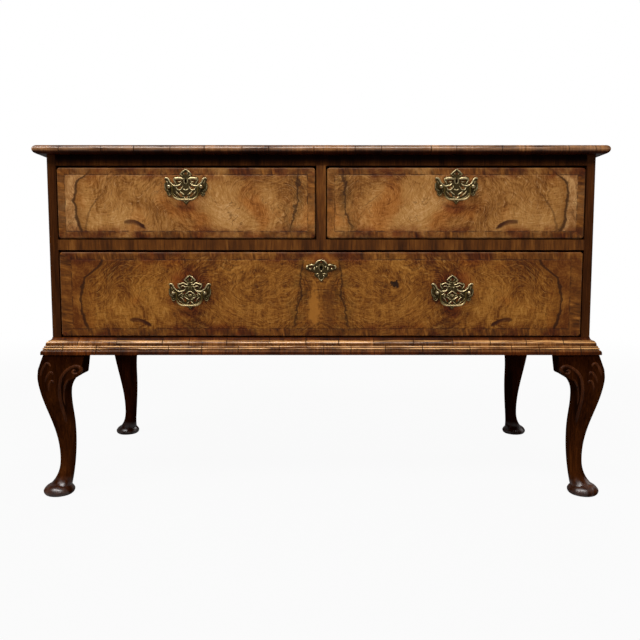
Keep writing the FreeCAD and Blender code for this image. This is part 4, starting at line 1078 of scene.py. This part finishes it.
def tidyNormals(piece):
    selectOnly([piece])
    bpy.ops.object.mode_set(mode="EDIT")
    bpy.ops.mesh.select_all(action="SELECT")
    bpy.ops.mesh.normals_make_consistent(inside=False)
    bpy.ops.object.mode_set(mode="OBJECT")
    bpy.ops.object.shade_smooth_by_angle(angle=math.radians(50))


def castTracery(name, strokes):
    # the right half's strokes, then a mirror for the left half
    rods = []
    for radius, points in strokes:
        spots = [(u / 1000, 0, v / 1000) for u, v in points]
        rods.append(rodThrough(spots, radius / 1000, traceryEnds))
    tracery = joinPieces(rods, name)
    mirror = tracery.modifiers.new("halves", "MIRROR")
    mirror.use_axis = (True, False, False)
    mirror.use_mirror_merge = False
    bpy.ops.object.modifier_apply(modifier=mirror.name)
    tidyNormals(tracery)
    return tracery


def copyTo(piece, name, place):
    selectOnly([piece])
    bpy.ops.object.duplicate()
    twin = bpy.context.object
    twin.name = twin.data.name = name
    twin.location = place
    bpy.ops.object.transform_apply(location=True, rotation=True, scale=True)
    return twin


def finishPiece(piece, body, mat):
    piece.data.materials.clear()
    piece.data.materials.append(mat)
    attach(piece, body)


def middleOf(node, rise):
    # the middle of a plate, level with its posts or its keyhole, on the plate's face
    low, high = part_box(node)
    return ((low.x + high.x) / 2, low.y, high.z - rise / 1000)


masters = {}
for kind in ("long", "short"):
    masters[kind] = castTracery(kind, backplateTracery["both"] + backplateTracery[kind])
masters["shield"] = castTracery("shield", escutcheonTracery["strokes"])
for name, (kind, node, body) in backplateTracery["plates"].items():
    tracery = copyTo(masters[kind], name, middleOf(node, backplateTracery["rise"]))
    finishPiece(tracery, body, brass["brass_cast"])
tracery = copyTo(masters["shield"], "escutcheon_tracery", middleOf("escutcheon", escutcheonTracery["rise"]))
finishPiece(tracery, "long_drawer", brass["brass_cast"])
for master in masters.values():
    bpy.data.objects.remove(master)
print("brass tracery cast")


# carved knees: strokes on the left leg's front face, each its half thickness and then points inwards from the
# case's corner and up, in millimetres

kneeCarving = {
    "lookFrom": -0.6,               # Y, well in front of the chest
    "sink": 0.50,                   # how deep a stroke's middle lies, as a share of its half thickness
    "ends": 0.45,                   # thickness at the ends of a stroke, as a share
    "strokes": [
        (4.0, [(62, 272.5), (67, 276), (66, 282.5), (59, 286), (50, 284.6), (41, 279.5), (33, 272.5),
               (27, 263.5), (23.2, 251), (20.8, 239), (19.9, 224), (20.8, 206), (23, 188),
               (25, 170), (25.6, 156)]),
        (3.0, [(62, 272.5), (57, 270.2), (51.5, 270.8), (49.6, 274.2), (53, 277), (58, 275.6)]),
        (2.4, [(44, 262), (36, 251.5), (29, 236), (26.6, 216), (27.4, 196)]),
        (3.4, [(4, 284), (-1, 290), (-6, 292), (-11, 285.5), (-15, 276), (-18, 261)]),
        (3.4, [(9.5, 267), (7, 271.5), (3, 273), (-1, 269), (-5.5, 261), (-9.4, 248)]),
        (3.0, [(11.2, 248.5), (9, 253), (5, 255), (1.5, 251), (-1.2, 243), (-2.2, 230)]),
    ],
}


def onKnee(inwards, up):
    # where a line from the front meets the leg or its knee block, and which way the wood faces there
    start = (inwards / 1000 - kneeHollow["corner"][0], kneeCarving["lookFrom"], up / 1000)
    hits = [nodes[node].ray_cast(start, (0, 1, 0)) for node in ("leg_front_left", "knee_blocks_front")]
    nearest = min((hit for hit in hits if hit[0]), key=lambda hit: hit[1].y)
    return nearest[1], nearest[2]


bpy.context.view_layer.update()
rods = []
for radius, points in kneeCarving["strokes"]:
    spots = []
    for inwards, up in points:
        place, facing = onKnee(inwards, up)
        spots.append(place - facing * radius / 1000 * kneeCarving["sink"])
    rods.append(rodThrough(spots, radius / 1000, kneeCarving["ends"]))
carving = joinPieces(rods, "knee_carving_left_front")
tidyNormals(carving)
cornerX, cornerY = kneeHollow["corner"]
toSide = Matrix(((0, 1, 0, cornerY - cornerX), (1, 0, 0, cornerX - cornerY), (0, 0, 1, 0), (0, 0, 0, 1)))
across = Matrix.Scale(-1, 4, (1, 0, 0))
carvings = [carving]
for name, turn in (("knee_carving_left_side", toSide), ("knee_carving_right_front", across),
                   ("knee_carving_right_side", across @ toSide)):
    twin = copyTo(carving, name, (0, 0, 0))
    twin.matrix_world = turn
    bpy.ops.object.transform_apply(location=True, rotation=True, scale=True)
    tidyNormals(twin)
    carvings.append(twin)
for piece in carvings:
    finishPiece(piece, "carcass", wood["carved_walnut"])
print("knees carved")


# floor, light and camera

stage = {
    "floorSize": 14.0, "floorTone": (0.34, 0.34, 0.34, 1), "floorRough": 0.9,
    "white": 0.94,                  # how white the floor is seen near the chest
    "fadeFrom": 1.4, "fadeTo": 3.6,              # distances over which it goes all white
    "inGloss": 0.10,                # how much of the white the gloss and the brass pick up
    "skyTone": (1.0, 0.99, 0.97, 1), "skyStrength": 0.16,
}


def seenWhite(tree):
    # what the camera sees of the surroundings is white, and gloss and brass pick up a part of it
    path = addNode(tree, "ShaderNodeLightPath").outputs
    straight = calc(tree, "MAXIMUM", path["Is Camera Ray"], path["Is Transmission Ray"])
    return calc(tree, "MAXIMUM", straight, times(tree, path["Is Glossy Ray"], stage["inGloss"]))


def makeFloor():
    bpy.ops.object.select_all(action="DESELECT")
    bpy.ops.mesh.primitive_plane_add(size=stage["floorSize"], location=(0, 0, 0))
    floor = bpy.context.object
    floor.name = "floor"
    mat, tree, sockets, place = newMaterial("pale_floor", 0.5)
    sockets["Base Color"].default_value = stage["floorTone"]
    sockets["Roughness"].default_value = stage["floorRough"]
    far = addNode(tree, "ShaderNodeVectorMath", {0: place}, operation="LENGTH").outputs["Value"]
    reach = fade(tree, far, stage["fadeFrom"], stage["fadeTo"])
    amount = plus(tree, stage["white"], times(tree, reach, 1 - stage["white"]))
    glow = addNode(tree, "ShaderNodeEmission", {"Color": (1, 1, 1, 1), "Strength": 1.0})
    plain = tree.nodes["Principled BSDF"].outputs[0]
    blend = addNode(tree, "ShaderNodeMixShader", {0: times(tree, seenWhite(tree), amount), 1: plain,
                                                  2: glow.outputs[0]})
    tree.links.new(blend.outputs[0], tree.nodes["Material Output"].inputs["Surface"])
    floor.data.materials.append(mat)


def makeWorld():
    world = bpy.data.worlds.new("studio")
    world.use_nodes = True
    scene.world = world
    tree = world.node_tree
    dim = tree.nodes["Background"]
    dim.inputs["Color"].default_value = stage["skyTone"]
    dim.inputs["Strength"].default_value = stage["skyStrength"]
    white = addNode(tree, "ShaderNodeBackground", {"Color": (1, 1, 1, 1), "Strength": 1.0})
    blend = addNode(tree, "ShaderNodeMixShader", {0: seenWhite(tree), 1: dim.outputs[0], 2: white.outputs[0]})
    tree.links.new(blend.outputs[0], tree.nodes["World Output"].inputs["Surface"])


lamps = {
    "key": {"at": (-0.60, -1.95, 2.95), "aim": (0, -0.2, 0.45), "size": (3.8, 0.45), "power": 122},
    "fill": {"at": (0.5, -4.2, 1.6), "aim": (0, 0, 0.45), "size": (6.0, 3.4), "power": 14},
    "side": {"at": (3.4, 0.5, 1.7), "aim": (0, 0, 0.45), "size": (2.4, 1.6), "power": 16},
    "back": {"at": (0.9, 2.4, 2.6), "aim": (0, 0, 0.5), "size": (2.0, 1.2), "power": 60},
}


def makeLamp(name, spec):
    bpy.ops.object.light_add(type="AREA", location=spec["at"])
    lamp = bpy.context.object
    lamp.name = name
    lamp.data.shape = "RECTANGLE"
    lamp.data.size, lamp.data.size_y = spec["size"]
    lamp.data.energy = spec["power"]
    reach = [b - a for a, b in zip(spec["at"], spec["aim"])]
    flat = math.hypot(reach[0], reach[1])
    lamp.rotation_euler = (math.atan2(flat, -reach[2]), 0, math.atan2(reach[0], -reach[1]) + math.pi)


view = {"at": (-0.0024, -1.678, 0.505), "tilt": 85.05, "focalPixels": 661, "framePixels": 640, "sensor": 36}


def makeCamera():
    bpy.ops.object.camera_add(location=view["at"], rotation=(math.radians(view["tilt"]), 0, 0))
    camera = bpy.context.object
    camera.data.sensor_width = view["sensor"]
    camera.data.lens = view["sensor"] * view["focalPixels"] / view["framePixels"]
    scene.camera = camera


makeFloor()
makeWorld()
for name, spec in lamps.items():
    makeLamp(name, spec)
makeCamera()
print("floor, lamps and camera set")
